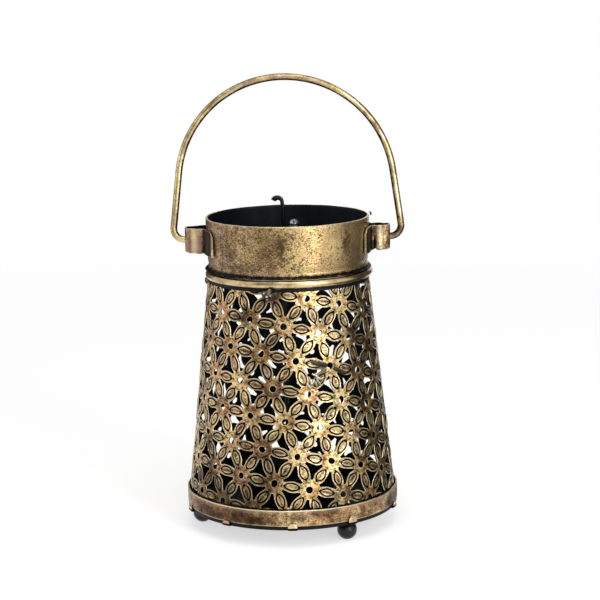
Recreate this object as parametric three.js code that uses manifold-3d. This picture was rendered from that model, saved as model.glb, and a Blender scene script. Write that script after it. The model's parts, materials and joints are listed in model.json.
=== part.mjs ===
// A tealight lantern: a pierced brass shade on a black base with ball feet, a plain
// collar with two strap ears, a swinging wire handle, and a candle cup on a hooked wire.
// Millimetres, +Z up. The origin is on the floor under the middle of the lantern.
// The handle stands in the XZ plane, and the front is -Y.

import * as THREE from 'three';
import { mergeVertices } from 'three/addons/utils/BufferGeometryUtils.js';
import Module from 'manifold-3d';

const wasm = await Module();
wasm.setup();

// Driving dimensions: gaps and round counts
const SEAT_GAP = 0.3;
const RUNNING_GAP = 0.35;
const SAME_POINT = 0.0001;
const SHEET_GRID = 0.01;
const ROUND_SEGMENTS = 48;
const CUP_SEGMENTS = 32;
const SMALL_SEGMENTS = 12;
const WIRE_SIDES = 8;
const CORNER_STEPS = 3;
const BEND_STEPS = 4;

// Driving dimensions: feet and base
const FOOT_DIAMETER = 9.5;
const FOOT_WORN_FLAT = 0.15;
const FOOT_SEAT_FLAT = 0.45;
const FOOT_INSET = 6.3;
const FOOT_TURNS_DEG = [35.4, 155.4, 275.4];
const FOOT_NAMES = ['right', 'back', 'left'];
const FOOT_SCREW_DIAMETER = 2.4;
const FOOT_SCREW_REACH = 5.5;
const FOOT_SCREW_HEAD_DIAMETER = 5;
const FOOT_SCREW_HEAD_HEIGHT = 1.6;
const FOOT_SCREW_HEAD_CHAMFER = 0.75;
const PLATE_SETBACK = 0.4;
const PLATE_THICKNESS = 1.8;
const TONGUE_COUNT = 10;
const TONGUE_WIDTH = 4.4;
const TONGUE_RISE = 2.6;
const TONGUE_THICKNESS = 0.7;
const TONGUE_CORNER_RADIUS = 1.5;
const TONGUE_ROOT_LENGTH = 2.8;

// Driving dimensions: rim band and pierced shade
const BASE_RADIUS = 51;
const BAND_SHEET = 0.8;
const BAND_HEIGHT = 7.7;
const SHADE_SHEET = 0.8;
const SHADE_RISE = 102.4;
const NECK_RADIUS = 38.7;
const BOTTOM_HEM_DROP = 1;
const TOP_HEM = 1.2;
const SEAM_LAP_WIDTH = 5;

// Driving dimensions: the flower pattern, set out on the flat sheet before it is rolled
const FLOWER_PITCH = 16.87;
const PATTERN_SLOPE_DEG = -11;
const FLOWER_ACROSS = -13.6;
const FLOWER_UP = 73.2;
const OPENING_TIP_FROM_HUB = 4.5;
const PETAL_WIDTH = 5.45;

// Driving dimensions: neck ring and collar
const RING_WIRE_DIAMETER = 4;
const COLLAR_SHEET = 1;
const COLLAR_HEIGHT = 24.6;
const COLLAR_WAIST_SETBACK = 0.5;
const COLLAR_RIM_FLARE = 1.1;
const COLLAR_FOOT_FLARE = 1.8;
const COLLAR_FOOT_HEIGHT = 2.7;
const LAP_WIDTH = 12;
const SEAM_SCREW_BELOW_RIM = 10;
const SEAM_SCREW_TURN_DEG = 175.5;
const SEAM_SCREW_DIAMETER = 2.6;
const SEAM_SCREW_HEAD_DIAMETER = 6;
const SEAM_SCREW_HEAD_HEIGHT = 2.2;
const SEAM_NUT_WIDTH = 5.5;
const SEAM_NUT_THICKNESS = 2;

// Driving dimensions: ears and handle
const EAR_HEIGHT = 12.4;
const EAR_STRAP = 0.9;
const EAR_DEPTH = 12;
const EAR_STANDOFF = 9.8;
const EAR_BEND_RADIUS = 2.4;
const LEFT_FLANGE_DEG = 19;
const RIGHT_FLANGE_DEG = 14.5;
const PIVOT_BELOW_RIM = 10.9;
const HANDLE_WIRE_DIAMETER = 3.4;
const HANDLE_RISE = 66;
const HANDLE_LEG_FLARE_DEG = 7.4;
const HANDLE_BEND_RADIUS = 5.3;
const HANDLE_END_INSIDE = 5;

// Driving dimensions: candle cup and its lifting wire
const CUP_INSIDE_DIAMETER = 39.4;
const CUP_SHEET = 0.8;
const CUP_HEIGHT = 14;
const CUP_LIP = 0.8;
const LIFT_WIRE_DIAMETER = 2;
const LIFT_WIRE_ACROSS = -2.1;
const LIFT_WIRE_FOOT = 2;
const LIFT_WIRE_ABOVE_RIM = 6.6;
const CROOK_RADIUS = 2.2;
const CROOK_TURN_DEG = 165;

// Heights that stack up from the floor
const footHeight = FOOT_DIAMETER - FOOT_WORN_FLAT - FOOT_SEAT_FLAT;
const plateTop = footHeight + PLATE_THICKNESS;
const bandTop = plateTop + BAND_HEIGHT;
const shadeTop = bandTop + SHADE_RISE;
const ringHeight = shadeTop + SEAT_GAP + RING_WIRE_DIAMETER / 2;
const collarBottom = ringHeight + RING_WIRE_DIAMETER / 2 + SEAT_GAP;
const collarWaist = collarBottom + COLLAR_FOOT_HEIGHT;
const rimTop = collarBottom + COLLAR_HEIGHT;
const seamScrewHeight = rimTop - SEAM_SCREW_BELOW_RIM;
const pivotHeight = rimTop - PIVOT_BELOW_RIM;

// Radii that follow from the base and the neck
const plateRadius = BASE_RADIUS - PLATE_SETBACK;
const footCircleRadius = plateRadius - FOOT_INSET;
const bandInside = BASE_RADIUS - BAND_SHEET;
const shadeBaseRadius = bandInside - SEAT_GAP;
const collarWaistRadius = NECK_RADIUS - COLLAR_WAIST_SETBACK;
const collarRimRadius = collarWaistRadius + COLLAR_RIM_FLARE;
const earReach = collarRimRadius + EAR_STANDOFF;
const cupInside = CUP_INSIDE_DIAMETER / 2;
const cupOutside = cupInside + CUP_SHEET;

const radians = THREE.MathUtils.degToRad;

// Merges the corners that faces share and drops triangles that have shrunk to a line.
function weld(geometry) {
  const bare = new THREE.BufferGeometry();
  bare.setAttribute('position', geometry.getAttribute('position').clone());
  if (geometry.index) bare.setIndex(geometry.index.clone());
  const merged = mergeVertices(bare, SAME_POINT);
  const index = Array.from(merged.index.array);
  const kept = [];
  for (let at = 0; at < index.length; at += 3) {
    const [a, b, c] = index.slice(at, at + 3);
    if (a !== b && b !== c && c !== a) kept.push(a, b, c);
  }
  merged.setIndex(kept);
  return merged;
}

function toSolid(geometry) {
  const welded = weld(geometry);
  return new wasm.Manifold(new wasm.Mesh({
    numProp: 3,
    vertProperties: new Float32Array(welded.getAttribute('position').array),
    triVerts: new Uint32Array(welded.index.array),
  }));
}

function fromSolid(solid) {
  const mesh = solid.getMesh();
  const geometry = new THREE.BufferGeometry();
  geometry.setAttribute('position', new THREE.BufferAttribute(new Float32Array(mesh.vertProperties), 3));
  geometry.setIndex(Array.from(mesh.triVerts));
  return geometry;
}

function joined(first, ...others) {
  return fromSolid(others.reduce((sum, next) => sum.add(toSolid(next)), toSolid(first)));
}

function withCuts(geometry, ...cutters) {
  return fromSolid(cutters.reduce((rest, next) => rest.subtract(toSolid(next)), toSolid(geometry)));
}

// Turns an outline of [radius, height] pairs, listed anticlockwise, about the Z axis.
function revolve(outline, segments = ROUND_SEGMENTS) {
  const points = outline.map(([radius, height]) => new THREE.Vector2(radius, height));
  return weld(new THREE.LatheGeometry(points, segments).rotateX(Math.PI / 2));
}

// A ring whose cross-section is a closed outline away from the axis.
function revolveRing(outline, segments = ROUND_SEGMENTS) {
  return revolve([...outline, outline[0]], segments);
}

function cylinder(radius, length, segments = SMALL_SEGMENTS) {
  return new THREE.CylinderGeometry(radius, radius, length, segments).rotateX(Math.PI / 2);
}

// Points of an arc in a plane, from one angle to another, both ends included.
function arcPoints(centre, radius, fromDeg, toDeg, steps) {
  const points = [];
  for (let step = 0; step <= steps; step += 1) {
    const angle = radians(fromDeg + (toDeg - fromDeg) * step / steps);
    points.push([centre[0] + radius * Math.cos(angle), centre[1] + radius * Math.sin(angle)]);
  }
  return points;
}

function shapeOf(points) {
  return new THREE.Shape(points.map(([x, y]) => new THREE.Vector2(x, y)));
}

// Moves a geometry from the front of the lantern to a turn about the Z axis, to the right.
function turnedBy(geometry, turnDeg) {
  return geometry.rotateZ(radians(turnDeg));
}

// A wire's centreline made of curves, each drawn with its own number of steps.
class WirePath extends THREE.Curve {
  constructor(pieces) {
    super();
    this.pieces = pieces;
    this.steps = pieces.reduce((sum, piece) => sum + piece.steps, 0);
  }

  getPoint(t, target = new THREE.Vector3()) {
    let rest = t * this.steps;
    let piece = this.pieces[0];
    for (const next of this.pieces) {
      piece = next;
      if (rest <= next.steps) break;
      rest -= next.steps;
    }
    return piece.curve.getPoint(Math.min(rest / piece.steps, 1), target);
  }

  getUtoTmapping(u) {
    return u;
  }
}

function straight(from, to, steps) {
  return { curve: new THREE.LineCurve3(new THREE.Vector3(...from), new THREE.Vector3(...to)), steps };
}

// An arc in the upright plane at depth y. Angles run from +X towards +Z.
function uprightArc(centreX, y, centreZ, radius, fromDeg, toDeg, steps) {
  const curve = new THREE.Curve();
  curve.getPoint = (t, target = new THREE.Vector3()) => {
    const angle = radians(fromDeg + (toDeg - fromDeg) * t);
    return target.set(centreX + radius * Math.cos(angle), y, centreZ + radius * Math.sin(angle));
  };
  return { curve, steps };
}

function wire(diameter, pieces) {
  const path = new WirePath(pieces);
  const section = arcPoints([0, 0], diameter / 2, 0, 360 - 360 / WIRE_SIDES, WIRE_SIDES - 1);
  return new THREE.ExtrudeGeometry(shapeOf(section), { steps: path.steps, extrudePath: path });
}

// Base plate: a disc with tongues cut in its edge and folded up over the rim band
function basePlate() {
  const disc = revolve([
    [0, footHeight],
    [plateRadius, footHeight],
    [plateRadius, plateTop],
    [0, plateTop],
  ]);
  const tongues = [];
  const tongueInside = BASE_RADIUS + SEAT_GAP;
  const tongueOutside = tongueInside + TONGUE_THICKNESS;
  const halfWidth = TONGUE_WIDTH / 2;
  const cornerRadius = Math.min(TONGUE_CORNER_RADIUS, halfWidth);
  const tongueTop = plateTop + TONGUE_RISE;
  const face = shapeOf([
    [-halfWidth, footHeight],
    [halfWidth, footHeight],
    ...arcPoints([halfWidth - cornerRadius, tongueTop - cornerRadius], cornerRadius, 0, 90, CORNER_STEPS),
    ...arcPoints([cornerRadius - halfWidth, tongueTop - cornerRadius], cornerRadius, 90, 180, CORNER_STEPS),
  ]);
  for (let count = 0; count < TONGUE_COUNT; count += 1) {
    const turn = 360 * count / TONGUE_COUNT;
    const upright = new THREE.ExtrudeGeometry(face, { depth: TONGUE_THICKNESS, bevelEnabled: false })
      .rotateX(Math.PI / 2)
      .translate(0, -tongueInside, 0);
    const root = new THREE.BoxGeometry(TONGUE_WIDTH, TONGUE_ROOT_LENGTH, TONGUE_THICKNESS)
      .translate(0, TONGUE_ROOT_LENGTH / 2 - tongueOutside, footHeight + TONGUE_THICKNESS / 2);
    tongues.push(turnedBy(upright, turn), turnedBy(root, turn));
  }
  const holeRadius = FOOT_SCREW_DIAMETER / 2 + SEAT_GAP;
  const holes = FOOT_TURNS_DEG.map((turn) => turnedBy(
    cylinder(holeRadius, PLATE_THICKNESS + 2 * SEAT_GAP)
      .translate(0, -footCircleRadius, footHeight + PLATE_THICKNESS / 2),
    turn,
  ));
  return withCuts(joined(disc, ...tongues), ...holes);
}

// Ball foot: worn flat underneath, flat on top where it meets the plate, with a blind hole
function ballFoot(turn) {
  const radius = FOOT_DIAMETER / 2;
  const centre = radius - FOOT_WORN_FLAT;
  const holeRadius = FOOT_SCREW_DIAMETER / 2 + SEAT_GAP;
  const holeBottom = footHeight - FOOT_SCREW_REACH - SEAT_GAP;
  const fromDeg = THREE.MathUtils.radToDeg(Math.asin((FOOT_WORN_FLAT - radius) / radius));
  const toDeg = THREE.MathUtils.radToDeg(Math.asin((radius - FOOT_SEAT_FLAT) / radius));
  const sideSteps = 7;
  const ball = revolve([
    [0, 0],
    ...arcPoints([0, centre], radius, fromDeg, toDeg, sideSteps),
    [holeRadius, footHeight],
    [holeRadius, holeBottom],
    [0, holeBottom],
  ], SMALL_SEGMENTS);
  return turnedBy(ball.translate(0, -footCircleRadius, 0), turn);
}

// Foot screw: a pan head on the plate and a shank down into the ball
function footScrew(turn) {
  const headRadius = FOOT_SCREW_HEAD_DIAMETER / 2;
  const shankRadius = FOOT_SCREW_DIAMETER / 2;
  const headTop = plateTop + FOOT_SCREW_HEAD_HEIGHT;
  const screw = revolve([
    [0, footHeight - FOOT_SCREW_REACH],
    [shankRadius, footHeight - FOOT_SCREW_REACH],
    [shankRadius, plateTop],
    [headRadius, plateTop],
    [headRadius, headTop - FOOT_SCREW_HEAD_CHAMFER],
    [headRadius - FOOT_SCREW_HEAD_CHAMFER, headTop],
    [0, headTop],
  ], SMALL_SEGMENTS);
  return turnedBy(screw.translate(0, -footCircleRadius, 0), turn);
}

// Rim band: a flat brass hoop round the foot of the shade
function rimBand() {
  return revolveRing([
    [bandInside, plateTop],
    [BASE_RADIUS, plateTop],
    [BASE_RADIUS, bandTop],
    [bandInside, bandTop],
  ]);
}

// Pierced shade: a flat sheet of flowers rolled into a cone, with a short upright skirt
function piercedShade() {
  const slant = Math.hypot(SHADE_RISE, shadeBaseRadius - NECK_RADIUS);
  const sine = (shadeBaseRadius - NECK_RADIUS) / slant;
  const cosine = SHADE_RISE / slant;
  const apexDistance = shadeBaseRadius / sine;
  const skirtBottom = plateTop + SEAT_GAP - bandTop;
  const cutLow = -BOTTOM_HEM_DROP;
  const cutHigh = slant - TOP_HEM;
  const seamTurn = Math.PI - SEAM_LAP_WIDTH / 2 / shadeBaseRadius;

  // A corner of the sheet is [turn about the axis, height up the slant from the band's top].
  // Corners closer than the weld grid are one corner.
  const corners = [];
  const cornerNumbers = new Map();
  const gridSteps = ([turn, up]) => [
    Math.round(turn * shadeBaseRadius / SHEET_GRID),
    Math.round(up / SHEET_GRID),
  ];
  function corner(turn, up) {
    const point = [turn > Math.PI ? turn - 2 * Math.PI : turn, up];
    const key = gridSteps(point).join(' ');
    if (!cornerNumbers.has(key)) {
      cornerNumbers.set(key, corners.length);
      corners.push(point);
    }
    return cornerNumbers.get(key);
  }

  const faces = [];
  function addFace(a, b, c) {
    if (a !== b && b !== c && c !== a) faces.push([a, b, c]);
  }

  function unrolled([across, up]) {
    const down = apexDistance - up;
    return [Math.atan2(across, down) / sine, apexDistance - Math.hypot(across, down)];
  }

  // Keeps the part of a polygon where one coordinate is under a limit, or over it with sign -1.
  function clipped(polygon, axis, limit, sign) {
    const kept = [];
    polygon.forEach((point, at) => {
      const next = polygon[(at + 1) % polygon.length];
      const here = sign * (limit - point[axis]);
      const there = sign * (limit - next[axis]);
      if (here >= 0) kept.push(point);
      if (here * there < 0) {
        const share = here / (here - there);
        const cut = [0, 1].map((which) => point[which] + (next[which] - point[which]) * share);
        cut[axis] = limit;
        kept.push(cut);
      }
    });
    return kept;
  }

  function addSheet(triangle) {
    let piece = triangle.map(unrolled);
    piece = clipped(piece, 1, cutHigh, 1);
    piece = clipped(piece, 1, cutLow, -1);
    piece = clipped(piece, 0, seamTurn, 1);
    piece = clipped(piece, 0, -seamTurn, -1);
    const ids = piece.map(([turn, up]) => corner(turn, up));
    for (let at = 1; at + 1 < ids.length; at += 1) addFace(ids[0], ids[at], ids[at + 1]);
  }

  // The metal between three flower hubs, round one opening with hollow sides
  function addCell(hubs) {
    const between = (from, to, distance) => {
      const share = distance / Math.hypot(to[0] - from[0], to[1] - from[1]);
      return [from[0] + (to[0] - from[0]) * share, from[1] + (to[1] - from[1]) * share];
    };
    const middle = [0, 1].map((axis) => (hubs[0][axis] + hubs[1][axis] + hubs[2][axis]) / 3);
    const tips = hubs.map((hub) => between(hub, middle, OPENING_TIP_FROM_HUB));
    hubs.forEach((hub, at) => {
      const next = (at + 1) % 3;
      const side = between(between(hub, hubs[next], FLOWER_PITCH / 2), middle, PETAL_WIDTH / 2);
      addSheet([hub, hubs[next], side]);
      addSheet([hub, side, tips[at]]);
      addSheet([hubs[next], tips[next], side]);
    });
  }

  const step = (deg) => [FLOWER_PITCH * Math.cos(radians(deg)), FLOWER_PITCH * Math.sin(radians(deg))];
  const along = step(PATTERN_SLOPE_DEG);
  const upward = step(PATTERN_SLOPE_DEG + 60);
  const hubAt = (i, j) => [
    FLOWER_ACROSS + i * along[0] + j * upward[0],
    FLOWER_UP + i * along[1] + j * upward[1],
  ];
  const reach = Math.ceil((Math.PI * BASE_RADIUS + slant) / FLOWER_PITCH);
  for (let i = -reach; i <= reach; i += 1) {
    for (let j = -reach; j <= reach; j += 1) {
      addCell([hubAt(i, j), hubAt(i + 1, j), hubAt(i, j + 1)]);
      addCell([hubAt(i + 1, j), hubAt(i + 1, j + 1), hubAt(i, j + 1)]);
    }
  }

  // The cut corners along one line, in order, and a plain edge with corners at even turns
  function cutChain(axis, value) {
    const onLine = (point) => gridSteps(point)[axis] === gridSteps([value, value])[axis];
    const ids = corners.map((point, id) => id).filter((id) => onLine(corners[id]));
    return ids.map((id) => ({ id, along: corners[id][1 - axis] })).sort((a, b) => a.along - b.along);
  }
  function plainChain(up) {
    return Array.from({ length: ROUND_SEGMENTS + 1 }, (_, at) => {
      const turn = 2 * Math.PI * at / ROUND_SEGMENTS - seamTurn;
      return { id: corner(turn, up), along: turn };
    });
  }

  // Joins two chains that run the same way, the first one on the left.
  function addStrip(left, right) {
    let [at, to] = [0, 0];
    while (at + 1 < left.length || to + 1 < right.length) {
      const leftNext = at + 1 < left.length ? left[at + 1].along : Infinity;
      const rightNext = to + 1 < right.length ? right[to + 1].along : Infinity;
      if (leftNext <= rightNext) {
        addFace(left[at].id, right[to].id, left[at + 1].id);
        at += 1;
      } else {
        addFace(left[at].id, right[to].id, right[to + 1].id);
        to += 1;
      }
    }
  }

  // Plain margins: the lap down the back, and the hems above and below the flowers
  for (const turn of [-seamTurn, seamTurn]) {
    for (const up of [cutLow, cutHigh]) corner(turn, up);
  }
  addStrip(cutChain(0, seamTurn), cutChain(0, -seamTurn));
  const lapEnd = (cut) => ({ id: corner(-seamTurn, cut), along: 2 * Math.PI - seamTurn });
  addStrip([...cutChain(1, cutLow), lapEnd(cutLow)], plainChain(skirtBottom));
  addStrip(plainChain(slant), [...cutChain(1, cutHigh), lapEnd(cutHigh)]);

  // Outer face, inner face, and a wall along every edge that only one triangle uses
  function placed([turn, up], depth) {
    const radius = up > 0 ? shadeBaseRadius - up * sine - depth * cosine : shadeBaseRadius - depth;
    const height = up > 0 ? bandTop + up * cosine - depth * sine : bandTop + up;
    return [radius * Math.sin(turn), -radius * Math.cos(turn), height];
  }
  const edges = new Set(faces.flatMap(([a, b, c]) => [`${a} ${b}`, `${b} ${c}`, `${c} ${a}`]));
  const inner = (id) => id + corners.length;
  const index = [];
  faces.forEach(([a, b, c]) => {
    index.push(a, b, c, inner(c), inner(b), inner(a));
    [[a, b], [b, c], [c, a]].forEach(([from, to]) => {
      if (edges.has(`${to} ${from}`)) return;
      index.push(to, from, inner(from), to, inner(from), inner(to));
    });
  });
  const positions = [0, SHADE_SHEET].flatMap((depth) => corners.flatMap((point) => placed(point, depth)));
  const geometry = new THREE.BufferGeometry();
  geometry.setAttribute('position', new THREE.Float32BufferAttribute(positions, 3));
  geometry.setIndex(index);
  return geometry;
}

// Neck ring: a wire hoop between the shade and the collar
function neckRing() {
  const wireRadius = RING_WIRE_DIAMETER / 2;
  return weld(new THREE.TorusGeometry(collarWaistRadius, wireRadius, WIRE_SIDES, ROUND_SEGMENTS))
    .translate(0, 0, ringHeight);
}

// The collar's outer radius at a height above its waist
function collarRadius(height) {
  const share = (height - collarWaist) / (rimTop - collarWaist);
  return collarWaistRadius + COLLAR_RIM_FLARE * Math.sqrt(Math.max(share, 0));
}

// Where the seam screw's head and nut bear, inside and outside the collar's lap
const lapOutside = collarRimRadius + COLLAR_SHEET;
const screwHeadSeat = collarRadius(seamScrewHeight) - COLLAR_SHEET - SEAT_GAP
  - (SEAM_SCREW_HEAD_DIAMETER / 2) ** 2 / 2 / collarWaistRadius;
const nutSeat = lapOutside + SEAT_GAP;

// A small round piece lying along the seam screw's radius, from an outline of
// [radius of the piece, distance from the lantern's axis] pairs
function radialPiece(outline, segments) {
  const piece = revolve(outline, segments).rotateX(Math.PI / 2);
  return turnedBy(piece.translate(0, 0, seamScrewHeight), SEAM_SCREW_TURN_DEG);
}

function seamBore(from, to) {
  const radius = SEAM_SCREW_DIAMETER / 2 + SEAT_GAP;
  return radialPiece([[0, from], [radius, from], [radius, to], [0, to]], SMALL_SEGMENTS);
}

// Collar: a rolled band with a flared foot, lapped and screwed together at the back
function collar() {
  const footSteps = 3;
  const outside = [];
  for (let step = 0; step < footSteps; step += 1) {
    const share = step / footSteps;
    outside.push([
      collarWaistRadius + COLLAR_FOOT_FLARE * (1 - Math.sin(share * Math.PI / 2)),
      collarBottom + COLLAR_FOOT_HEIGHT * share,
    ]);
  }
  const wallSteps = 2;
  for (let step = 0; step <= wallSteps; step += 1) {
    const height = collarWaist + (rimTop - collarWaist) * step / wallSteps;
    outside.push([collarRadius(height), height]);
  }
  const inside = outside.map(([radius, height]) => [radius - COLLAR_SHEET, height]).reverse();
  const hoop = revolveRing([...outside, ...inside]);

  const lapInside = collarWaistRadius - COLLAR_SHEET / 2;
  const halfLapDeg = THREE.MathUtils.radToDeg(LAP_WIDTH / 2 / collarRimRadius);
  const lapOutline = shapeOf([
    ...arcPoints([0, 0], lapOutside, -90 - halfLapDeg, -90 + halfLapDeg, BEND_STEPS),
    ...arcPoints([0, 0], lapInside, -90 + halfLapDeg, -90 - halfLapDeg, BEND_STEPS),
  ]);
  const lapHeight = rimTop - COLLAR_SHEET - collarWaist;
  const frontLap = new THREE.ExtrudeGeometry(lapOutline, { depth: lapHeight, bevelEnabled: false })
    .translate(0, 0, collarWaist);
  const lap = turnedBy(frontLap, SEAM_SCREW_TURN_DEG);

  return withCuts(joined(hoop, lap), seamBore(screwHeadSeat, nutSeat));
}

// Seam screw: a domed head inside the collar, its shank out through the lap and the nut
function seamScrew() {
  const headRadius = SEAM_SCREW_HEAD_DIAMETER / 2;
  const shankRadius = SEAM_SCREW_DIAMETER / 2;
  const shankEnd = nutSeat + SEAM_NUT_THICKNESS + SEAT_GAP;
  const headTop = screwHeadSeat - SEAM_SCREW_HEAD_HEIGHT;
  const domeRadius = (headRadius ** 2 + SEAM_SCREW_HEAD_HEIGHT ** 2) / 2 / SEAM_SCREW_HEAD_HEIGHT;
  const domeDeg = THREE.MathUtils.radToDeg(Math.acos(1 - SEAM_SCREW_HEAD_HEIGHT / domeRadius));
  return radialPiece([
    ...arcPoints([0, headTop + domeRadius], domeRadius, -90, domeDeg - 90, CORNER_STEPS),
    [shankRadius, screwHeadSeat],
    [shankRadius, shankEnd],
    [0, shankEnd],
  ], SMALL_SEGMENTS);
}

// Seam nut: a hexagon nut on the outside of the lap
function seamNut() {
  const sides = 6;
  const cornerRadius = SEAM_NUT_WIDTH / 2 / Math.cos(Math.PI / sides);
  const nutEnd = nutSeat + SEAM_NUT_THICKNESS;
  const blank = radialPiece([
    [0, nutSeat],
    [cornerRadius, nutSeat],
    [cornerRadius, nutEnd],
    [0, nutEnd],
  ], sides);
  return withCuts(blank, seamBore(nutSeat - SEAT_GAP, nutEnd + SEAT_GAP));
}

// Ear: a strap bent into a loop, with a flange each side lying on the collar
function ear(side, flangeDeg) {
  const bottom = pivotHeight - EAR_HEIGHT / 2;
  const flangeInside = collarRadius(bottom + EAR_HEIGHT) + SEAT_GAP;
  const outer = EAR_DEPTH / 2;
  const legDeg = THREE.MathUtils.radToDeg(Math.asin((outer - EAR_STRAP) / flangeInside));
  const outerLegDeg = THREE.MathUtils.radToDeg(Math.asin(outer / (flangeInside + EAR_STRAP)));
  const endDeg = legDeg + flangeDeg;
  const bendCentre = [earReach - EAR_BEND_RADIUS, outer - EAR_BEND_RADIUS];
  const innerBend = EAR_BEND_RADIUS - EAR_STRAP;
  const halfOutside = [
    ...arcPoints([0, 0], flangeInside + EAR_STRAP, endDeg, outerLegDeg, BEND_STEPS),
    ...arcPoints(bendCentre, EAR_BEND_RADIUS, 90, 0, BEND_STEPS),
  ];
  const halfInside = [
    ...arcPoints(bendCentre, innerBend, 0, 90, BEND_STEPS),
    ...arcPoints([0, 0], flangeInside, legDeg, endDeg, BEND_STEPS),
  ];
  const mirrored = (points) => points.map(([x, y]) => [x, -y]).reverse();
  const outline = [...halfOutside, ...mirrored(halfOutside), ...mirrored(halfInside), ...halfInside];
  const strap = new THREE.ExtrudeGeometry(shapeOf(outline), { depth: EAR_HEIGHT, bevelEnabled: false })
    .translate(0, 0, bottom);
  const hole = cylinder(HANDLE_WIRE_DIAMETER / 2 + RUNNING_GAP, EAR_STRAP + 2 * SEAT_GAP)
    .rotateY(Math.PI / 2)
    .translate(earReach - EAR_STRAP / 2, 0, pivotHeight);
  const loop = withCuts(strap, hole);
  return side > 0 ? loop : loop.rotateZ(Math.PI);
}

// Handle: one wire bent into an arch, its ends turned in through the ears. The arch is as
// wide as it takes for its straight, flared legs to come down to the bends at the ears.
function handle() {
  const flare = radians(HANDLE_LEG_FLARE_DEG);
  const sine = Math.sin(flare);
  const cosine = Math.cos(flare);
  const crown = rimTop + HANDLE_RISE;
  const bendHeight = pivotHeight + HANDLE_BEND_RADIUS;
  const legBottom = [earReach + HANDLE_BEND_RADIUS * cosine, bendHeight + HANDLE_BEND_RADIUS * sine];
  const archRadius = (legBottom[0] * cosine - (crown - legBottom[1]) * sine) / (1 - sine);
  const archCentre = crown - archRadius;
  const legTop = [archRadius * cosine, archCentre + archRadius * sine];
  const endX = earReach - EAR_STRAP - HANDLE_END_INSIDE;
  const legSteps = 3;
  const bendSteps = 6;
  const archSteps = 26;
  const turn = HANDLE_LEG_FLARE_DEG;
  return wire(HANDLE_WIRE_DIAMETER, [
    straight([endX, 0, pivotHeight], [earReach, 0, pivotHeight], 1),
    uprightArc(earReach, 0, bendHeight, HANDLE_BEND_RADIUS, -90, turn, bendSteps),
    straight([legBottom[0], 0, legBottom[1]], [legTop[0], 0, legTop[1]], legSteps),
    uprightArc(0, 0, archCentre, archRadius, turn, 180 - turn, archSteps),
    straight([-legTop[0], 0, legTop[1]], [-legBottom[0], 0, legBottom[1]], legSteps),
    uprightArc(-earReach, 0, bendHeight, HANDLE_BEND_RADIUS, 180 - turn, 270, bendSteps),
    straight([-earReach, 0, pivotHeight], [-endX, 0, pivotHeight], 1),
  ]);
}

// Candle cup: a shallow cup that a tealight drops into, standing on the base plate
function candleCup() {
  const top = plateTop + CUP_HEIGHT;
  return revolve([
    [0, plateTop],
    [cupOutside, plateTop],
    [cupOutside, top - CUP_LIP],
    [cupOutside + CUP_LIP, top],
    [cupInside + CUP_LIP, top],
    [cupInside, top - CUP_LIP],
    [cupInside, plateTop + CUP_SHEET],
    [0, plateTop + CUP_SHEET],
  ], CUP_SEGMENTS);
}

// Lifting wire: stands against the back of the cup and ends above the rim in a crook
function liftingWire() {
  const back = cupOutside + CUP_LIP + SEAT_GAP + LIFT_WIRE_DIAMETER / 2;
  const crookCentre = rimTop + LIFT_WIRE_ABOVE_RIM - LIFT_WIRE_DIAMETER / 2 - CROOK_RADIUS;
  const crookAcross = LIFT_WIRE_ACROSS - CROOK_RADIUS;
  const crookSteps = 8;
  const foot = [LIFT_WIRE_ACROSS, back, plateTop + LIFT_WIRE_FOOT];
  const shoulder = [LIFT_WIRE_ACROSS, back, crookCentre];
  return wire(LIFT_WIRE_DIAMETER, [
    straight(foot, shoulder, 1),
    uprightArc(crookAcross, back, crookCentre, CROOK_RADIUS, 0, CROOK_TURN_DEG, crookSteps),
  ]);
}

const brass = new THREE.MeshStandardMaterial({ color: 0xa8854f, roughness: 0.38, metalness: 0.9 });
const paleBrass = new THREE.MeshStandardMaterial({ color: 0xc2a468, roughness: 0.32, metalness: 0.95 });
const darkBrass = new THREE.MeshStandardMaterial({ color: 0x8a6a42, roughness: 0.45, metalness: 0.85 });
const blackPaint = new THREE.MeshStandardMaterial({ color: 0x0d0f12, roughness: 0.5, metalness: 0.2 });
const blackGloss = new THREE.MeshStandardMaterial({ color: 0x0b0b0c, roughness: 0.25, metalness: 0.3 });

const lantern = new THREE.Group();
function add(name, geometry, material) {
  const mesh = new THREE.Mesh(geometry, material);
  mesh.name = name;
  lantern.add(mesh);
}

add('base_plate', basePlate(), blackPaint);
FOOT_TURNS_DEG.forEach((turn, at) => {
  add(`ball_foot_${FOOT_NAMES[at]}`, ballFoot(turn), blackGloss);
  add(`foot_screw_${FOOT_NAMES[at]}`, footScrew(turn), blackPaint);
});
add('rim_band', rimBand(), brass);
add('pierced_shade', piercedShade(), brass);
add('neck_ring', neckRing(), paleBrass);
add('collar', collar(), brass);
add('seam_screw', seamScrew(), blackGloss);
add('seam_nut', seamNut(), blackPaint);
add('ear_left', ear(-1, LEFT_FLANGE_DEG), darkBrass);
add('ear_right', ear(1, RIGHT_FLANGE_DEG), darkBrass);
add('handle', handle(), paleBrass);
add('candle_cup', candleCup(), blackPaint);
add('lifting_wire', liftingWire(), blackPaint);

export default lantern;
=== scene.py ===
# %% [markdown]
# # Dressing a pierced brass tealight lantern
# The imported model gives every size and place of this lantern. This lesson first sets up a
# camera, a pale studio and soft lamps. Then it makes the finishes, old brass and black paint,
# and builds a finer skin for each of the lantern's pieces, in the same place.

# %% Load the frame
import json
import math

import bmesh
import bpy
import numpy as np
from mathutils import Matrix, Vector, noise


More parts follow.
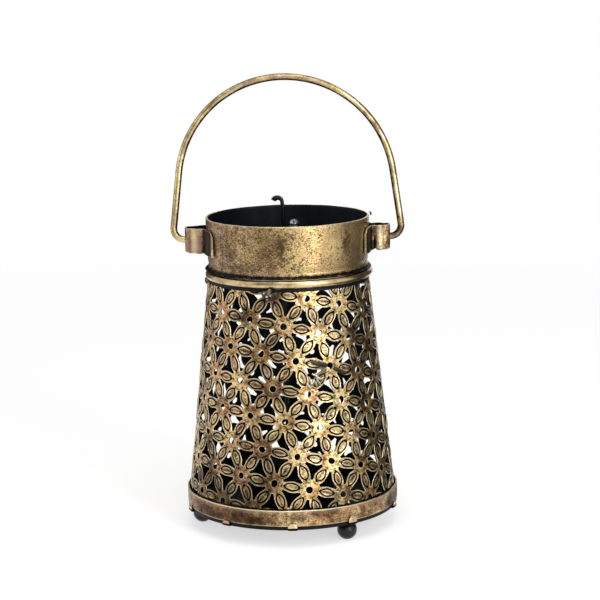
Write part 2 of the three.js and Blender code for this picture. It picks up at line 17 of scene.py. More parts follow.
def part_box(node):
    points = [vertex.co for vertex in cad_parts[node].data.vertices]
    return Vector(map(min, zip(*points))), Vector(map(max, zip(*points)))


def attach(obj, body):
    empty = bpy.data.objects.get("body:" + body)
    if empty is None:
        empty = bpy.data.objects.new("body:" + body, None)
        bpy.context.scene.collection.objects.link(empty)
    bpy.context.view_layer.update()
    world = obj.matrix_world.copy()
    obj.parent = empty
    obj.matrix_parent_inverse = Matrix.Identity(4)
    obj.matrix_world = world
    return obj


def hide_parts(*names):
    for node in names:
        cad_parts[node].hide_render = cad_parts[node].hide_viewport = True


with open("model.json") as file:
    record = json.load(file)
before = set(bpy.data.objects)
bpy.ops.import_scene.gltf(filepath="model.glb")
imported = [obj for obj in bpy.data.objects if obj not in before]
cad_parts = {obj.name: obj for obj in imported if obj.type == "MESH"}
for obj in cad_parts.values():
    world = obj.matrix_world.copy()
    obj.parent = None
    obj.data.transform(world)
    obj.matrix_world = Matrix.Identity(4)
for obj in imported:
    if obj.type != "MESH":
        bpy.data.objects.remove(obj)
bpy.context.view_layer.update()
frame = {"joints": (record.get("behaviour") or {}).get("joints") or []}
MM = 0.001


def box_mm(node):
    """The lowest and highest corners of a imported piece, in millimetres."""
    return [np.array(corner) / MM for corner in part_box(node)]


def add_object(name, data):
    """Puts a mesh, a lamp or a camera into the scene."""
    made = bpy.data.objects.new(name, data)
    bpy.context.scene.collection.objects.link(made)
    return made


# %% [markdown]
# ## The camera
# A camera fitted to the ellipses of the rim, the base and the feet gives its lens and
# place. It stands a little above the rim, looks 10.6 degrees down, and is rolled by one
# degree, so the lantern leans slightly in the picture as it does in the photograph.

# %% Place the camera
PICTURE_PIXELS = 600
FOCAL_PIXELS = 1884.8
SENSOR_MM = 36
CAMERA_PLACE = Vector((0.00537, -0.89373, 0.27608))
CAMERA_PITCH = 0.18521
CAMERA_ROLL = -0.01848

camera_data = bpy.data.cameras.new("camera")
camera_data.sensor_width = SENSOR_MM
camera_data.lens = SENSOR_MM * FOCAL_PIXELS / PICTURE_PIXELS
camera = add_object("camera", camera_data)
tilt = Matrix.Rotation(math.pi / 2 - CAMERA_PITCH, 4, "X") @ Matrix.Rotation(CAMERA_ROLL, 4, "Z")
camera.matrix_world = Matrix.Translation(CAMERA_PLACE) @ tilt
bpy.context.scene.camera = camera
print("lens in mm:", round(camera_data.lens, 1))

# %% [markdown]
# ## Short ways to write nodes
# The studio, the finishes and the rolled shade are all made with nodes. A small class wraps
# what a node gives, so that sums with it read like ordinary sums: each adds one Math node.

# %% Values and nodes
class Value:
    """What a node gives. A sum with it adds a Math node, and value[name] is another output."""

    def __init__(self, node, output=0):
        self.node = node
        self.socket = node.outputs[output] if node.outputs else None

    def __getitem__(self, output):
        return Value(self.node, output)

    def __add__(self, other):
        return maths("ADD", self, other)

    def __sub__(self, other):
        return maths("SUBTRACT", self, other)

    def __rsub__(self, other):
        return maths("SUBTRACT", other, self)

    def __mul__(self, other):
        return maths("MULTIPLY", self, other)

    def __truediv__(self, other):
        return maths("DIVIDE", self, other)

    def __rtruediv__(self, other):
        return maths("DIVIDE", other, self)


def feed(node, inputs):
    """Sets or links a node's inputs, by name or number. A plain colour gets an alpha of one."""
    for key, value in inputs.items():
        socket = node.inputs[key]
        if isinstance(value, Value):
            node.id_data.links.new(value.socket, socket)
        else:
            socket.default_value = (*value, 1) if socket.type == "RGBA" else value


def add(tree, kind, inputs=None, **settings):
    """Adds a node with its settings and inputs, and gives its first output."""
    node = tree.nodes.new(kind)
    for key, value in settings.items():
        setattr(node, key, value)
    feed(node, inputs or {})
    return Value(node)


def maths(operation, *inputs, clamp=False):
    """A Math node on values and numbers, in the tree of the first value."""
    tree = next(each.node.id_data for each in inputs if isinstance(each, Value))
    return add(tree, "ShaderNodeMath", dict(enumerate(inputs)), operation=operation, use_clamp=clamp)


def step(value, low, high, kind="SMOOTHSTEP"):
    """Nought below the low value, one above the high one."""
    return add(value.node.id_data, "ShaderNodeMapRange", {0: value, 1: low, 2: high}, interpolation_type=kind)


def tint(amount, first, second):
    """A colour that goes from the first to the second as the amount goes from nought to one."""
    inputs = {0: amount, 6: first, 7: second}
    return add(amount.node.id_data, "ShaderNodeMix", inputs, data_type="RGBA")[2]


def bare_tree(owner):
    """The node tree of a world or a material, emptied."""
    owner.use_nodes = True
    owner.node_tree.nodes.clear()
    return owner.node_tree


def new_group(name, kind, inputs, outputs):
    """A node group. Each of its inputs and outputs has a name and a type."""
    group = bpy.data.node_groups.new(name, kind)
    for way, sockets in (("INPUT", inputs), ("OUTPUT", outputs)):
        for key, sort in sockets.items():
            group.interface.new_socket(key, in_out=way, socket_type=f"NodeSocket{sort}")
    return group, Value(group.nodes.new("NodeGroupInput")), group.nodes.new("NodeGroupOutput")


# %% [markdown]
# ## The studio
# The object stands on a pale floor in front of a white surround. Camera rays, and the rays
# that metal sends out, see that white at a strength of one. Only diffuse light is dimmer,
# so the colours come out as they are written. The floor fades into the white at its rim.

# %% World and floor
WHITE = (1, 1, 1)
SURROUND_FILL = 0.42
FLOOR_RADIUS = 1.6
FLOOR_FADE_FROM = 0.35
FLOOR_FADE_TO = 0.95
FLOOR_COLOUR = (0.9, 0.9, 0.9)
FLOOR_SEEN_COLOUR = (1.65, 1.65, 1.65)
FLOOR_GLOW = 0.6


def seen_directly(tree):
    """One for camera, glossy and transmission rays, and nought for the others."""
    path = add(tree, "ShaderNodeLightPath")
    glossy = maths("MAXIMUM", path["Is Camera Ray"], path["Is Glossy Ray"])
    return maths("MAXIMUM", glossy, path["Is Transmission Ray"])


world = bpy.data.worlds.new("white_surround")
bpy.context.scene.world = world
sky = bare_tree(world)
plain_fill = add(sky, "ShaderNodeBackground", {"Color": WHITE, "Strength": SURROUND_FILL})
pure_white = add(sky, "ShaderNodeBackground", {"Color": WHITE, "Strength": 1.0})
surround = add(sky, "ShaderNodeMixShader", {0: seen_directly(sky), 1: plain_fill, 2: pure_white})
add(sky, "ShaderNodeOutputWorld", {"Surface": surround})

floor_material = bpy.data.materials.new("pale_floor")
ground = bare_tree(floor_material)
matt = add(ground, "ShaderNodeBsdfDiffuse",
           {"Color": tint(seen_directly(ground), FLOOR_COLOUR, FLOOR_SEEN_COLOUR)})
glow = add(ground, "ShaderNodeEmission", {"Color": WHITE, "Strength": 1.0})
lit = add(ground, "ShaderNodeMixShader", {0: seen_directly(ground) * FLOOR_GLOW, 1: matt, 2: glow})
place = add(ground, "ShaderNodeTexCoord")["Object"]
distance = add(ground, "ShaderNodeVectorMath", {0: place}, operation="LENGTH")["Value"]
fade = step(distance, FLOOR_FADE_FROM, FLOOR_FADE_TO)
faded = add(ground, "ShaderNodeMixShader", {0: fade, 1: lit, 2: add(ground, "ShaderNodeBsdfTransparent")})
add(ground, "ShaderNodeOutputMaterial", {"Surface": faded})

disc = bmesh.new()
bmesh.ops.create_circle(disc, cap_ends=True, segments=96, radius=FLOOR_RADIUS)
floor_mesh = bpy.data.meshes.new("floor")
disc.to_mesh(floor_mesh)
disc.free()
floor_mesh.materials.append(floor_material)
add_object("floor", floor_mesh)
print("floor radius in m:", FLOOR_RADIUS)

# %% [markdown]
# A large soft lamp stands to the right of the camera, where the bright stripe down the
# brass comes from. A second one fills from the left, and a third lights the top.

# %% Lamps
# Each lamp's turn from the front in degrees, its distance, height, width, length and watts
LAMPS = {
    "key_lamp": (35, 0.95, 0.30, 0.28, 0.85, 4.2),
    "fill_lamp": (-50, 1.05, 0.42, 0.50, 0.70, 1.7),
    "top_lamp": (10, 0.45, 1.10, 0.60, 0.60, 2.6),
}
AIM_POINT = Vector((0, 0, 0.09))


def beside(turn_deg, distance, height):
    """A place beside the lantern, in metres."""
    turn = math.radians(turn_deg)
    return Vector((distance * math.sin(turn), -distance * math.cos(turn), height))


for name, (turn_deg, distance, height, width, length, watts) in LAMPS.items():
    light = bpy.data.lights.new(name, "AREA")
    light.shape = "RECTANGLE"
    light.size = width
    light.size_y = length
    light.energy = watts
    holder = add_object(name, light)
    holder.location = beside(turn_deg, distance, height)
    aim = AIM_POINT - holder.location
    holder.rotation_euler = aim.to_track_quat("-Z", "Y").to_euler()
print("lamps:", ", ".join(LAMPS))

# %% [markdown]
# Polished metal shows what stands round it. Dark cards at the sides give the brass its
# darker flanks, and a dim one in front of it, to the left, keeps that part from shining, as
# in a photographer's studio. One lies on the floor. Only reflections see the cards: they
# cast no shadow, and the camera looks through them.

# %% Dark cards
# Each card's turn from the front in degrees, its distance, width, height and grey
CARDS = {
    "card_right": (120, 0.50, 0.58, 0.75, 0.07),
    "card_left": (-150, 0.50, 0.40, 0.75, 0.05),
    "card_front": (-35, 0.60, 0.44, 0.75, 0.35),
    "card_floor": (105, 0.10, 0.36, 0.40, 0.05),
}
CARD_LIFT = 0.002
for name, (turn_deg, distance, width, height, grey) in CARDS.items():
    material = bpy.data.materials.new(name)
    tree = bare_tree(material)
    dull = add(tree, "ShaderNodeBsdfDiffuse", {"Color": (grey, grey, grey)})
    add(tree, "ShaderNodeOutputMaterial", {"Surface": dull})
    mesh = bpy.data.meshes.new(name)
    corners = [(-width / 2, 0, 0), (width / 2, 0, 0), (width / 2, 0, height), (-width / 2, 0, height)]
    mesh.from_pydata(corners, [], [(0, 1, 2, 3)])
    mesh.materials.append(material)
    card = add_object(name, mesh)
    card.location = beside(turn_deg, distance, CARD_LIFT)
    card.rotation_euler = (math.radians(90) if name == "card_floor" else 0, 0, math.radians(turn_deg))
    for ray in ("camera", "diffuse", "transmission", "volume_scatter", "shadow"):
        setattr(card, f"visible_{ray}", False)
print("dark cards:", ", ".join(CARDS))

# %% [markdown]
# ## Finishes
# The brass was painted black, then rubbed back and lacquered. So dark paint stays in every
# hollow and in cloudy patches, edges are worn bright, and some areas have a coppery blush.
# One node group works out these masks from the place on the object, and every brass
# material uses it with its own values. It also paints light on the shade's sheet: a painted
# highlight in a stripe down the front and a painted sheen on the far left.

# %% The patina group
PATINA = {
    "Stain": 0.0, "Dark Limit": 0.55, "Copper Limit": 0.55, "Left Copper": 0.0, "Grain Size": 0.95,
    "Grain Density": 0.3, "Left Grain": 0.0, "Tone Spread": 0.09, "Left Light": 0.0, "Front Light": 0.0,
}
MIDDLE_TONE = 0.505

# Where an effect starts and where it is full, in millimetres across or in depth
LEFT_FADE = (26, -40)
FAR_LEFT_FADE = (-22, -42)
STRIPE_LEFT_EDGE = (-3, 12)
STRIPE_RIGHT_EDGE = (34, 22)
STRIPE_DEPTH = (0, -20)
GRAIN_SHIFT = (1.4, 1.4, 1.4)
GRAIN_STRETCH = (0.75, 0.75, 1.4)


def object_mm(tree):
    """The place on the object in millimetres."""
    place = add(tree, "ShaderNodeTexCoord")["Object"]
    return add(tree, "ShaderNodeVectorMath", {0: place, "Scale": 1 / MM}, operation="SCALE")


def cloud(where, size, seed, detail, roughness):
    """Noise from nought to one, with clouds of about this size in millimetres."""
    tree = where.node.id_data
    offset = (seed, 2.7 * seed, -1.9 * seed)
    shifted = add(tree, "ShaderNodeVectorMath", {0: where, 1: offset}, operation="ADD")
    inputs = {"Vector": shifted, "Scale": 1 / size, "Detail": detail, "Roughness": roughness}
    return add(tree, "ShaderNodeTexNoise", inputs)


patina, given, result = new_group(
    "patina", "ShaderNodeTree", dict.fromkeys(PATINA, "Float"),
    dict.fromkeys(("Tone", "Dark", "Copper", "Grain", "Height"), "Float"))
for key, value in PATINA.items():
    patina.interface.items_tree[key].default_value = value
where = object_mm(patina)
x, y, _ = add(patina, "ShaderNodeSeparateXYZ", {0: where})
stain = given["Stain"]
leftward = step(x, *LEFT_FADE)
broad = cloud(where, 13, 3.1, 2.0, 0.5)
mottled = cloud(where, 4.0, 8.4, 5.0, 0.68)
fine = cloud(where, 1.6, 5.2, 4.0, 0.7)

# The tone, with a painted sheen on the far left and a painted highlight in a stripe down the front
front = step(x, *STRIPE_LEFT_EDGE) * step(x, *STRIPE_RIGHT_EDGE) * step(y, *STRIPE_DEPTH)
front = front * given["Front Light"]
tone = mottled * 0.5 + broad * 0.5 + step(x, *FAR_LEFT_FADE) * given["Left Light"] + front
spread = given["Tone Spread"]

# Patches of black paint, and the coppery blush, which keeps clear of the painted highlight stripe
blotch = fine * 0.4 + cloud(where, 14, 14.3, 4.0, 0.62) * 0.6 + stain * 0.22
blush = cloud(where, 8, 21.7, 3.0, 0.6) + leftward * given["Left Copper"] - front * 3.0

# Grain: dots whose size is down to luck and to how crowded they are, and finer grit among them
rough = add(patina, "ShaderNodeTexNoise", {"Vector": where, "Scale": 0.9, "Detail": 1.0})[1]
ragged = add(patina, "ShaderNodeVectorMath", {0: rough, 1: GRAIN_SHIFT, 2: where}, operation="MULTIPLY_ADD")
flattened = add(patina, "ShaderNodeVectorMath", {0: ragged, 1: GRAIN_STRETCH}, operation="MULTIPLY")
dots = add(patina, "ShaderNodeTexVoronoi", {"Vector": flattened, "Scale": 1.0 / given["Grain Size"]})
grit = add(patina, "ShaderNodeTexNoise", {
    "Vector": flattened, "Scale": 1.4 / given["Grain Size"], "Detail": 2.0, "Roughness": 0.7})
luck = add(patina, "ShaderNodeSeparateColor", {0: dots["Color"]})
crowd = stain * 0.5 + given["Grain Density"] + leftward * given["Left Grain"] + (mottled - 0.5) * 2.2
reach = maths("MULTIPLY", crowd - luck, 0.9, clamp=True)
grain = maths("MULTIPLY", reach - dots["Distance"], 6.0, clamp=True)
gritty = (crowd - 0.6) * 0.25 + grit
grain = maths("MAXIMUM", grain, step(gritty, 0.50, 0.60) * 0.8)
feed(result, {
    "Tone": step(tone, MIDDLE_TONE - spread, spread + MIDDLE_TONE, "LINEAR"),
    "Dark": step(blotch, given["Dark Limit"], given["Dark Limit"] + 0.13),
    "Copper": step(blush, given["Copper Limit"], given["Copper Limit"] + 0.16),
    "Grain": grain,
    "Height": mottled - grain * 0.5,
})
print("group:", patina.name)

# %% [markdown]
# A mesh carries masks of its own. `groove` marks hollows that keep their black paint, and
# on some pieces painted shade, `worn` the edges that hands and polishing have brightened,
# and on the handle a painted highlight, `stain` the places where paint and grain gather, and
# on the shade and the ears painted shade too, and `eye` the petals' raised middles. Where a
# piece has none, it reads nought.

# %% Brass and paint materials
BLACKENED_AND_SHADED = (0.028, 0.016, 0.009)
HOLLOW_AND_SHADE_BLACK = (0.007, 0.0045, 0.0035)
LACQUER_ROUGHNESS = 0.22


def new_material(name):
    """A material, its tree and its Principled surface."""
    material = bpy.data.materials.new(name)
    material.use_nodes = True
    return material, material.node_tree, material.node_tree.nodes["Principled BSDF"]


def mark(tree, name):
    return add(tree, "ShaderNodeAttribute", attribute_name=name)["Fac"]


def three_tints(amount, *colours):
    """A colour ramp through three colours at nought, a half and one."""
    ramp = add(amount.node.id_data, "ShaderNodeValToRGB", {0: amount})
    stops = ramp.node.color_ramp.elements
    stops.new(0.5)
    for stop, place, colour in zip(stops, (0, 0.5, 1), colours):
        stop.position = place
        stop.color = (*colour, 1)
    return ramp


def dress(surface, colour, dull, roughness, height, strength, relief):
    """Gives a surface its colour, a roughness that grows as it gets duller, and its relief."""
    tree = surface.id_data
    feed(surface, {
        "Base Color": colour,
        "Roughness": add(tree, "ShaderNodeMapRange", {0: dull, 3: roughness[0], 4: roughness[1]}),
        "Normal": add(tree, "ShaderNodeBump", {
            "Strength": strength, "Distance": relief * MM, "Height": height}),
    })


def brass(name, brown, middle, light, copper, worn, roughness=(0.36, 0.60), relief=0.10,
          speckle=0.6, blushed=0.75, lacquer=0.8, **patina_values):
    """Old brass. The last values go to the patina's inputs of the same names."""
    material, tree, surface = new_material(name)
    values = {key.replace("_", " ").title(): value for key, value in patina_values.items()}
    masks = add(tree, "ShaderNodeGroup", {"Stain": mark(tree, "stain"), **values}, node_tree=patina)
    where = object_mm(tree)
    eye = mark(tree, "eye")

    # Paint in patches, in grain and in hollows, and the painted shade that these masks also carry. The
    # hollows' outline is ragged
    stained = maths("MAXIMUM", masks["Dark"], masks["Grain"] * speckle)
    uneven = cloud(where, 2.2, 41.0, 3.0, 0.6) - 0.5
    groove = step(uneven * 0.9 + mark(tree, "groove"), 0.15, 0.72)

    # The petals' middles: pale in some flowers, bitten dark in others
    pale = step(cloud(where, 6.0, 31.3, 1.0, 0.5), 0.48, 0.60)
    etched = step(cloud(where, 1.0, 6.6, 2.0, 0.6), 0.48, 0.57)
    deep = step(cloud(where, 5.0, 17.7, 1.0, 0.5), 0.50, 0.57)
    bitten = maths("MULTIPLY", (etched * 0.8 + deep) * eye, 0.7, clamp=True)

    # The colours lie over each other: tone, blush, petals, paint, bright edges and painted highlight, black
    # hollows and painted shade
    shade = three_tints(masks["Tone"], brown, middle, light)
    shade = tint(masks["Copper"] * (eye * 0.35 + blushed), shade, copper)
    shade = tint(pale * eye * 0.75, shade, light)
    shade = tint(bitten, shade, BLACKENED_AND_SHADED)
    shade = tint(stained * 0.88, shade, BLACKENED_AND_SHADED)
    shade = tint(mark(tree, "worn") * (1.0 - masks["Dark"] * 0.6), shade, worn)
    shade = tint(groove, shade, HOLLOW_AND_SHADE_BLACK)
    dull = maths("MAXIMUM", stained, groove)
    dress(surface, shade, dull, roughness, masks["Height"], 0.6, relief)
    clear = 1.0 - dull * 0.85
    feed(surface, {"Metallic": 1.0, "Coat Weight": clear * lacquer, "Coat Roughness": LACQUER_ROUGHNESS})
    return material


def paint(name, colour, dusty, roughness, relief, shine):
    """Brushed-on black paint, a little dusty in patches."""
    material, tree, surface = new_material(name)
    patches = cloud(object_mm(tree), 7, 4.4, 5.0, 0.65)
    ripple = cloud(object_mm(tree), 1.3, 9.9, 3.0, 0.5)
    dress(surface, tint(step(patches, 0.48, 0.75), colour, dusty), patches, roughness, ripple, 0.5, relief)
    surface.inputs["Specular IOR Level"].default_value = shine
    return material


sheet_brass = brass(
    "sheet_brass", (0.16, 0.070, 0.020), (0.53, 0.285, 0.075), (0.82, 0.61, 0.28), (0.50, 0.23, 0.10),
    (0.88, 0.76, 0.48), dark_limit=0.53, copper_limit=0.55, left_copper=0.18, grain_size=1.6,
    grain_density=0.54, tone_spread=0.055, left_light=0.035, front_light=0.06, speckle=1.0, blushed=0.4,
    lacquer=0.6)
collar_brass = brass(
    "collar_brass", (0.40, 0.25, 0.11), (0.575, 0.405, 0.172), (0.61, 0.455, 0.205), (0.60, 0.38, 0.235),
    (0.78, 0.66, 0.43), dark_limit=0.62, copper_limit=0.57, left_copper=0.2, grain_size=0.8,
    grain_density=0.46, left_grain=0.5, tone_spread=0.11, speckle=0.95, lacquer=0.5)
band_brass = brass(
    "band_brass", (0.090, 0.040, 0.018), (0.42, 0.24, 0.105), (0.74, 0.54, 0.27), (0.40, 0.18, 0.10),
    (0.80, 0.66, 0.42), dark_limit=0.57, copper_limit=0.56, left_copper=0.1, grain_density=0.55,
    left_grain=0.2, tone_spread=0.07, speckle=0.9, lacquer=0.4)
wire_brass = brass(
    "wire_brass", (0.34, 0.22, 0.10), (0.60, 0.46, 0.235), (0.74, 0.61, 0.36), (0.48, 0.26, 0.16),
    (0.86, 0.76, 0.52), dark_limit=0.62, copper_limit=0.60, grain_density=0.0, tone_spread=0.12,
    roughness=(0.28, 0.5), relief=0.06, lacquer=0.3)
handle_brass = brass(
    "handle_brass", (0.26, 0.16, 0.065), (0.55, 0.40, 0.17), (0.82, 0.67, 0.38), (0.44, 0.24, 0.14),
    (0.92, 0.80, 0.52), dark_limit=0.53, copper_limit=0.58, grain_size=1.1, grain_density=0.34,
    tone_spread=0.09, roughness=(0.28, 0.5), relief=0.06, speckle=0.95, lacquer=0.4)
strap_brass = brass(
    "strap_brass", (0.080, 0.040, 0.024), (0.30, 0.175, 0.08), (0.68, 0.49, 0.22), (0.38, 0.20, 0.14),
    (0.84, 0.70, 0.42), dark_limit=0.56, copper_limit=0.55, left_copper=0.14, grain_density=0.3,
    tone_spread=0.07)
solder = brass(
    "solder", (0.035, 0.027, 0.02), (0.10, 0.075, 0.05), (0.40, 0.34, 0.24), (0.20, 0.11, 0.07),
    (0.95, 0.88, 0.70), dark_limit=0.53, copper_limit=0.6, grain_density=0.4, relief=0.2, lacquer=0.5)
screw_steel = brass(
    "screw_steel", (0.03, 0.03, 0.032), (0.13, 0.13, 0.135), (0.50, 0.50, 0.50), (0.05, 0.045, 0.045),
    (0.80, 0.79, 0.77), dark_limit=0.58, copper_limit=0.7, grain_density=0.15, roughness=(0.22, 0.5))
inside_black = paint(
    "inside_black", (0.002, 0.0028, 0.0045), (0.0075, 0.008, 0.0105), (0.40, 0.56), relief=0.04, shine=0.16)
foot_black = paint(
    "foot_black", (0.003, 0.003, 0.0035), (0.008, 0.008, 0.009), (0.21, 0.35), relief=0.05, shine=0.35)
print("materials:", len(bpy.data.materials))

# %% [markdown]
# ## Tools for building meshes
# Most pieces here are rings of points joined by quads: a wire is a row of round rings, and
# a turned piece is one outline repeated round the axis. A part is its points, its faces, a
# material number for each face, and its masks. `build` joins parts into one finished piece.

# %% Rings and parts
MASKS = ("groove", "worn", "stain", "eye")


def part(points, faces, slot=0, **masks):
    """Points in millimetres and their faces. A slot may be one number or one for each face."""
    points = np.asarray(points, float).reshape(-1, 3)
    slots = np.full(len(faces), slot) if np.isscalar(slot) else np.asarray(slot)
    masks = {key: np.broadcast_to(np.ravel(value), len(points)) for key, value in masks.items()}
    return {"points": points, "faces": faces, "slots": slots, "masks": masks}


def ring_faces(rings, size, wrap_rings=False, wrap_points=True):
    """Quads between neighbouring rings, with flat ends where an open row has closed rings."""
    faces = []
    for ring in range(rings if wrap_rings else rings - 1):
        after = (ring + 1) % rings
        for point in range(size if wrap_points else size - 1):
            near = (point + 1) % size
            faces.append((ring * size + point, ring * size + near, after * size + near, after * size + point))
    if wrap_points and not wrap_rings:
        faces.append(tuple(range(size - 1, -1, -1)))
        faces.append(tuple((rings - 1) * size + point for point in range(size)))
    return faces


def unit(vectors):
    return vectors / np.linalg.norm(vectors, axis=-1, keepdims=True)


def ramp(value, low, high):
    """Nought at the low value and beyond it, one at the high one."""
    return np.clip((value - low) / (high - low), 0, 1)


def bumpy(x, y, z):
    """Smooth noise at places given by numbers or arrays that fit together."""
    places = np.stack(np.broadcast_arrays(x, y, z), -1).astype(float)
    return np.apply_along_axis(noise.noise, -1, places)


def arc(centre, radius, start_deg, end_deg, steps):
    """Points of an arc in a plane, both ends included."""
    angle = np.radians(np.linspace(start_deg, end_deg, steps + 1))
    return np.stack([centre[0] + radius * np.cos(angle), centre[1] + radius * np.sin(angle)], -1)


def at_turn(turn, radius, height):
    """A point from its turn about the axis, which starts at the front and goes to the right."""
    return np.stack(np.broadcast_arrays(radius * np.sin(turn), -radius * np.cos(turn), height), -1)


def whole_turn(steps):
    """Even turns right round the axis, as a column."""
    return (np.arange(steps) * math.tau / steps)[:, None]


def stains_at(points, stains):
    """How stained each point is. A stain has a turn and a height, its reach each way, and a strength."""
    turn = np.degrees(np.arctan2(points[:, 0], -points[:, 1]))
    total = np.zeros(len(points))
    for centre, height, wide, tall, strength in stains:
        apart = (turn - centre + 180) % 360 - 180
        total += strength * np.exp(-(apart / wide) ** 2 - ((points[:, 2] - height) / tall) ** 2)
    return np.clip(total, 0, 1)


def turned(outline, steps=192, closed=True, wave=None, slots=0, stains=(), **masks):
    """An outline of (radius, height) points, turned about the axis. The wave moves its points."""
    turns = whole_turn(steps)
    radius, height = (np.tile(column, (steps, 1)) for column in np.asarray(outline, float).T)
    if wave:
        radius, height = wave(turns, radius, height)
    points = at_turn(turns, radius, height).reshape(-1, 3)
    faces = ring_faces(steps, len(outline), wrap_rings=True, wrap_points=closed)
    masks = {key: np.tile(value, steps) for key, value in masks.items()}
    slots = slots if np.isscalar(slots) else np.tile(slots, steps)
    return part(points, faces, slots, stain=stains_at(points, stains), **masks)


def swept(path, diameter, sides, widen=(1, 1), **masks):
    """A round wire along a path in an upright plane. Widen is its size in that plane and across."""
    section = arc((0, 0), diameter / 2, 0, 360 - 360 / sides, sides - 1)
    section = section * np.broadcast_to(widen, (len(path), 2))[:, None]
    across = np.array([0.0, 1.0, 0.0])
    normal = np.cross(unit(np.gradient(path, axis=0)), across)
    points = path[:, None] + normal[:, None] * section[..., :1] + across * section[..., 1:]
    return part(points, ring_faces(len(path), sides), **masks)


# %% Finished pieces
WELD_DISTANCE = 0.002 * MM
SLIVER_WIDTH = 0.001 * MM


def smooth(mesh, sharp_deg):
    """Smooth shading, but for edges sharper than this."""
    mesh.polygons.foreach_set("use_smooth", np.ones(len(mesh.polygons), bool))
    mesh.set_sharp_from_angle(angle=math.radians(sharp_deg))


def build(name, parts, materials, sharp_deg=38):
    """Joins parts into one closed, smooth-shaded piece at the origin."""
    points = np.concatenate([each["points"] for each in parts])
    faces, start = [], 0
    for each in parts:
        faces += [tuple(start + corner for corner in face) for face in each["faces"]]
        start += len(each["points"])
    mesh = bpy.data.meshes.new(name)
    mesh.from_pydata((points * MM).tolist(), [], faces)
    slots = np.concatenate([each["slots"] for each in parts])
    mesh.polygons.foreach_set("material_index", slots.astype(np.int32))
    for key in MASKS:
        values = np.concatenate([each["masks"].get(key, np.zeros(len(each["points"]))) for each in parts])
        mesh.attributes.new(key, "FLOAT", "POINT").data.foreach_set("value", values.astype(np.float32))
    work = bmesh.new()
    work.from_mesh(mesh)
    bmesh.ops.remove_doubles(work, verts=work.verts, dist=WELD_DISTANCE)
    bmesh.ops.dissolve_degenerate(work, edges=work.edges, dist=SLIVER_WIDTH)
    bmesh.ops.recalc_face_normals(work, faces=work.faces)
    work.to_mesh(mesh)
    work.free()
    smooth(mesh, sharp_deg)
    for material in materials:
        mesh.materials.append(material)
    return add_object(name, mesh)


def keep_result(piece, modifier):
    """Turns what a modifier makes of a piece into its plain mesh, and removes the modifier."""
    graph = bpy.context.evaluated_depsgraph_get()
    mesh = bpy.data.meshes.new_from_object(
        piece.evaluated_get(graph), preserve_all_data_layers=True, depsgraph=graph)
    piece.modifiers.remove(modifier)
    piece.data = mesh


def settle(piece, body, slot, *nodes):
    """Puts a piece on its body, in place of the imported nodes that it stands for."""
    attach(piece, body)
    if nodes:
        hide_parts(*nodes)
    print(f"{piece.name}: {len(piece.data.polygons)} faces on {body}")


# %% [markdown]
# ## The pierced shade
# The shade is a flat brass sheet, stamped all over with six-petalled flowers and then
# rolled into a cone. The rule is simple: hubs stand on a lattice of equal triangles, a
# petal joins each pair of neighbours, and a three-cornered opening is left between any
# three. So one twelfth of a cell, listed point by point, gives the whole sheet: mirrored
# and turned it fills two triangles, and Geometry Nodes repeat those over the lattice.

# %% Sizes of the sheet and the flower
BAND_SHEET = 0.8
SHADE_SHEET = 0.8
SEAT_GAP = 0.3
NECK_RADIUS = 38.7
band_low, band_high = box_mm("rim_band")
shade_low, shade_high = box_mm("pierced_shade")
band_top = band_high[2]
base_radius = band_high[0] - BAND_SHEET - SEAT_GAP
rise = shade_high[2] - band_top
slant = math.hypot(rise, base_radius - NECK_RADIUS)
sine = (base_radius - NECK_RADIUS) / slant
cosine = rise / slant
apex = base_radius / sine

PITCH = 16.87
SLOPE_DEG = -11
FIRST_ACROSS = -13.6
FIRST_UP = 73.2
HOLE_RADIUS = 1.58
HUB_RADIUS = 3.85
TIP_FROM_HUB = 4.75
TIP_BLUNT = 0.58
PETAL_HALF = 2.72
LENS_HALF_LENGTH = 4.35
LENS_HALF_WIDTH = 2.18
EYE_HALF_LENGTH = 3.3
EYE_HALF_WIDTH = 1.36
GROOVE_DEPTH = 0.40
GROOVE_WALL = 0.08
EYE_RISE = 0.12
RIM_WIDTH = 0.26
EDGE_CHAMFER = 0.17
HUB_DIRT = 0.62
END_DIRT = 0.6
SIDE_DIRT = 0.32
print("slant in mm:", round(slant, 2), "apex distance:", round(apex, 1))

# %% One twelfth of a cell
tip_x = TIP_FROM_HUB * math.cos(math.radians(30))
tip_y = TIP_FROM_HUB * math.sin(math.radians(30))
corner_x = tip_x + TIP_BLUNT * 0.5
corner_y = tip_y - TIP_BLUNT * math.cos(math.radians(30))


def hub_row(radius, half_way, height, worn, swell=0.0, dirt=0.0):
    """A row round the hub. Its points nearest the petal's axis fall together."""
    turn = np.array([0, 0, 0, 0, 0, 0, half_way, 1, 1]) * math.radians(30)
    radius = radius + swell * np.array([0, 0, 0, 0, 0, 0, 0.5, 1, 1])
    dirty = dirt * np.array([1, 1, 1, 1, 1, 1, 0.5, 0, 0])
    columns = (radius * np.cos(turn), radius * np.sin(turn), height, dirty, worn, 0.0)
    return np.stack(np.broadcast_arrays(*columns), -1)


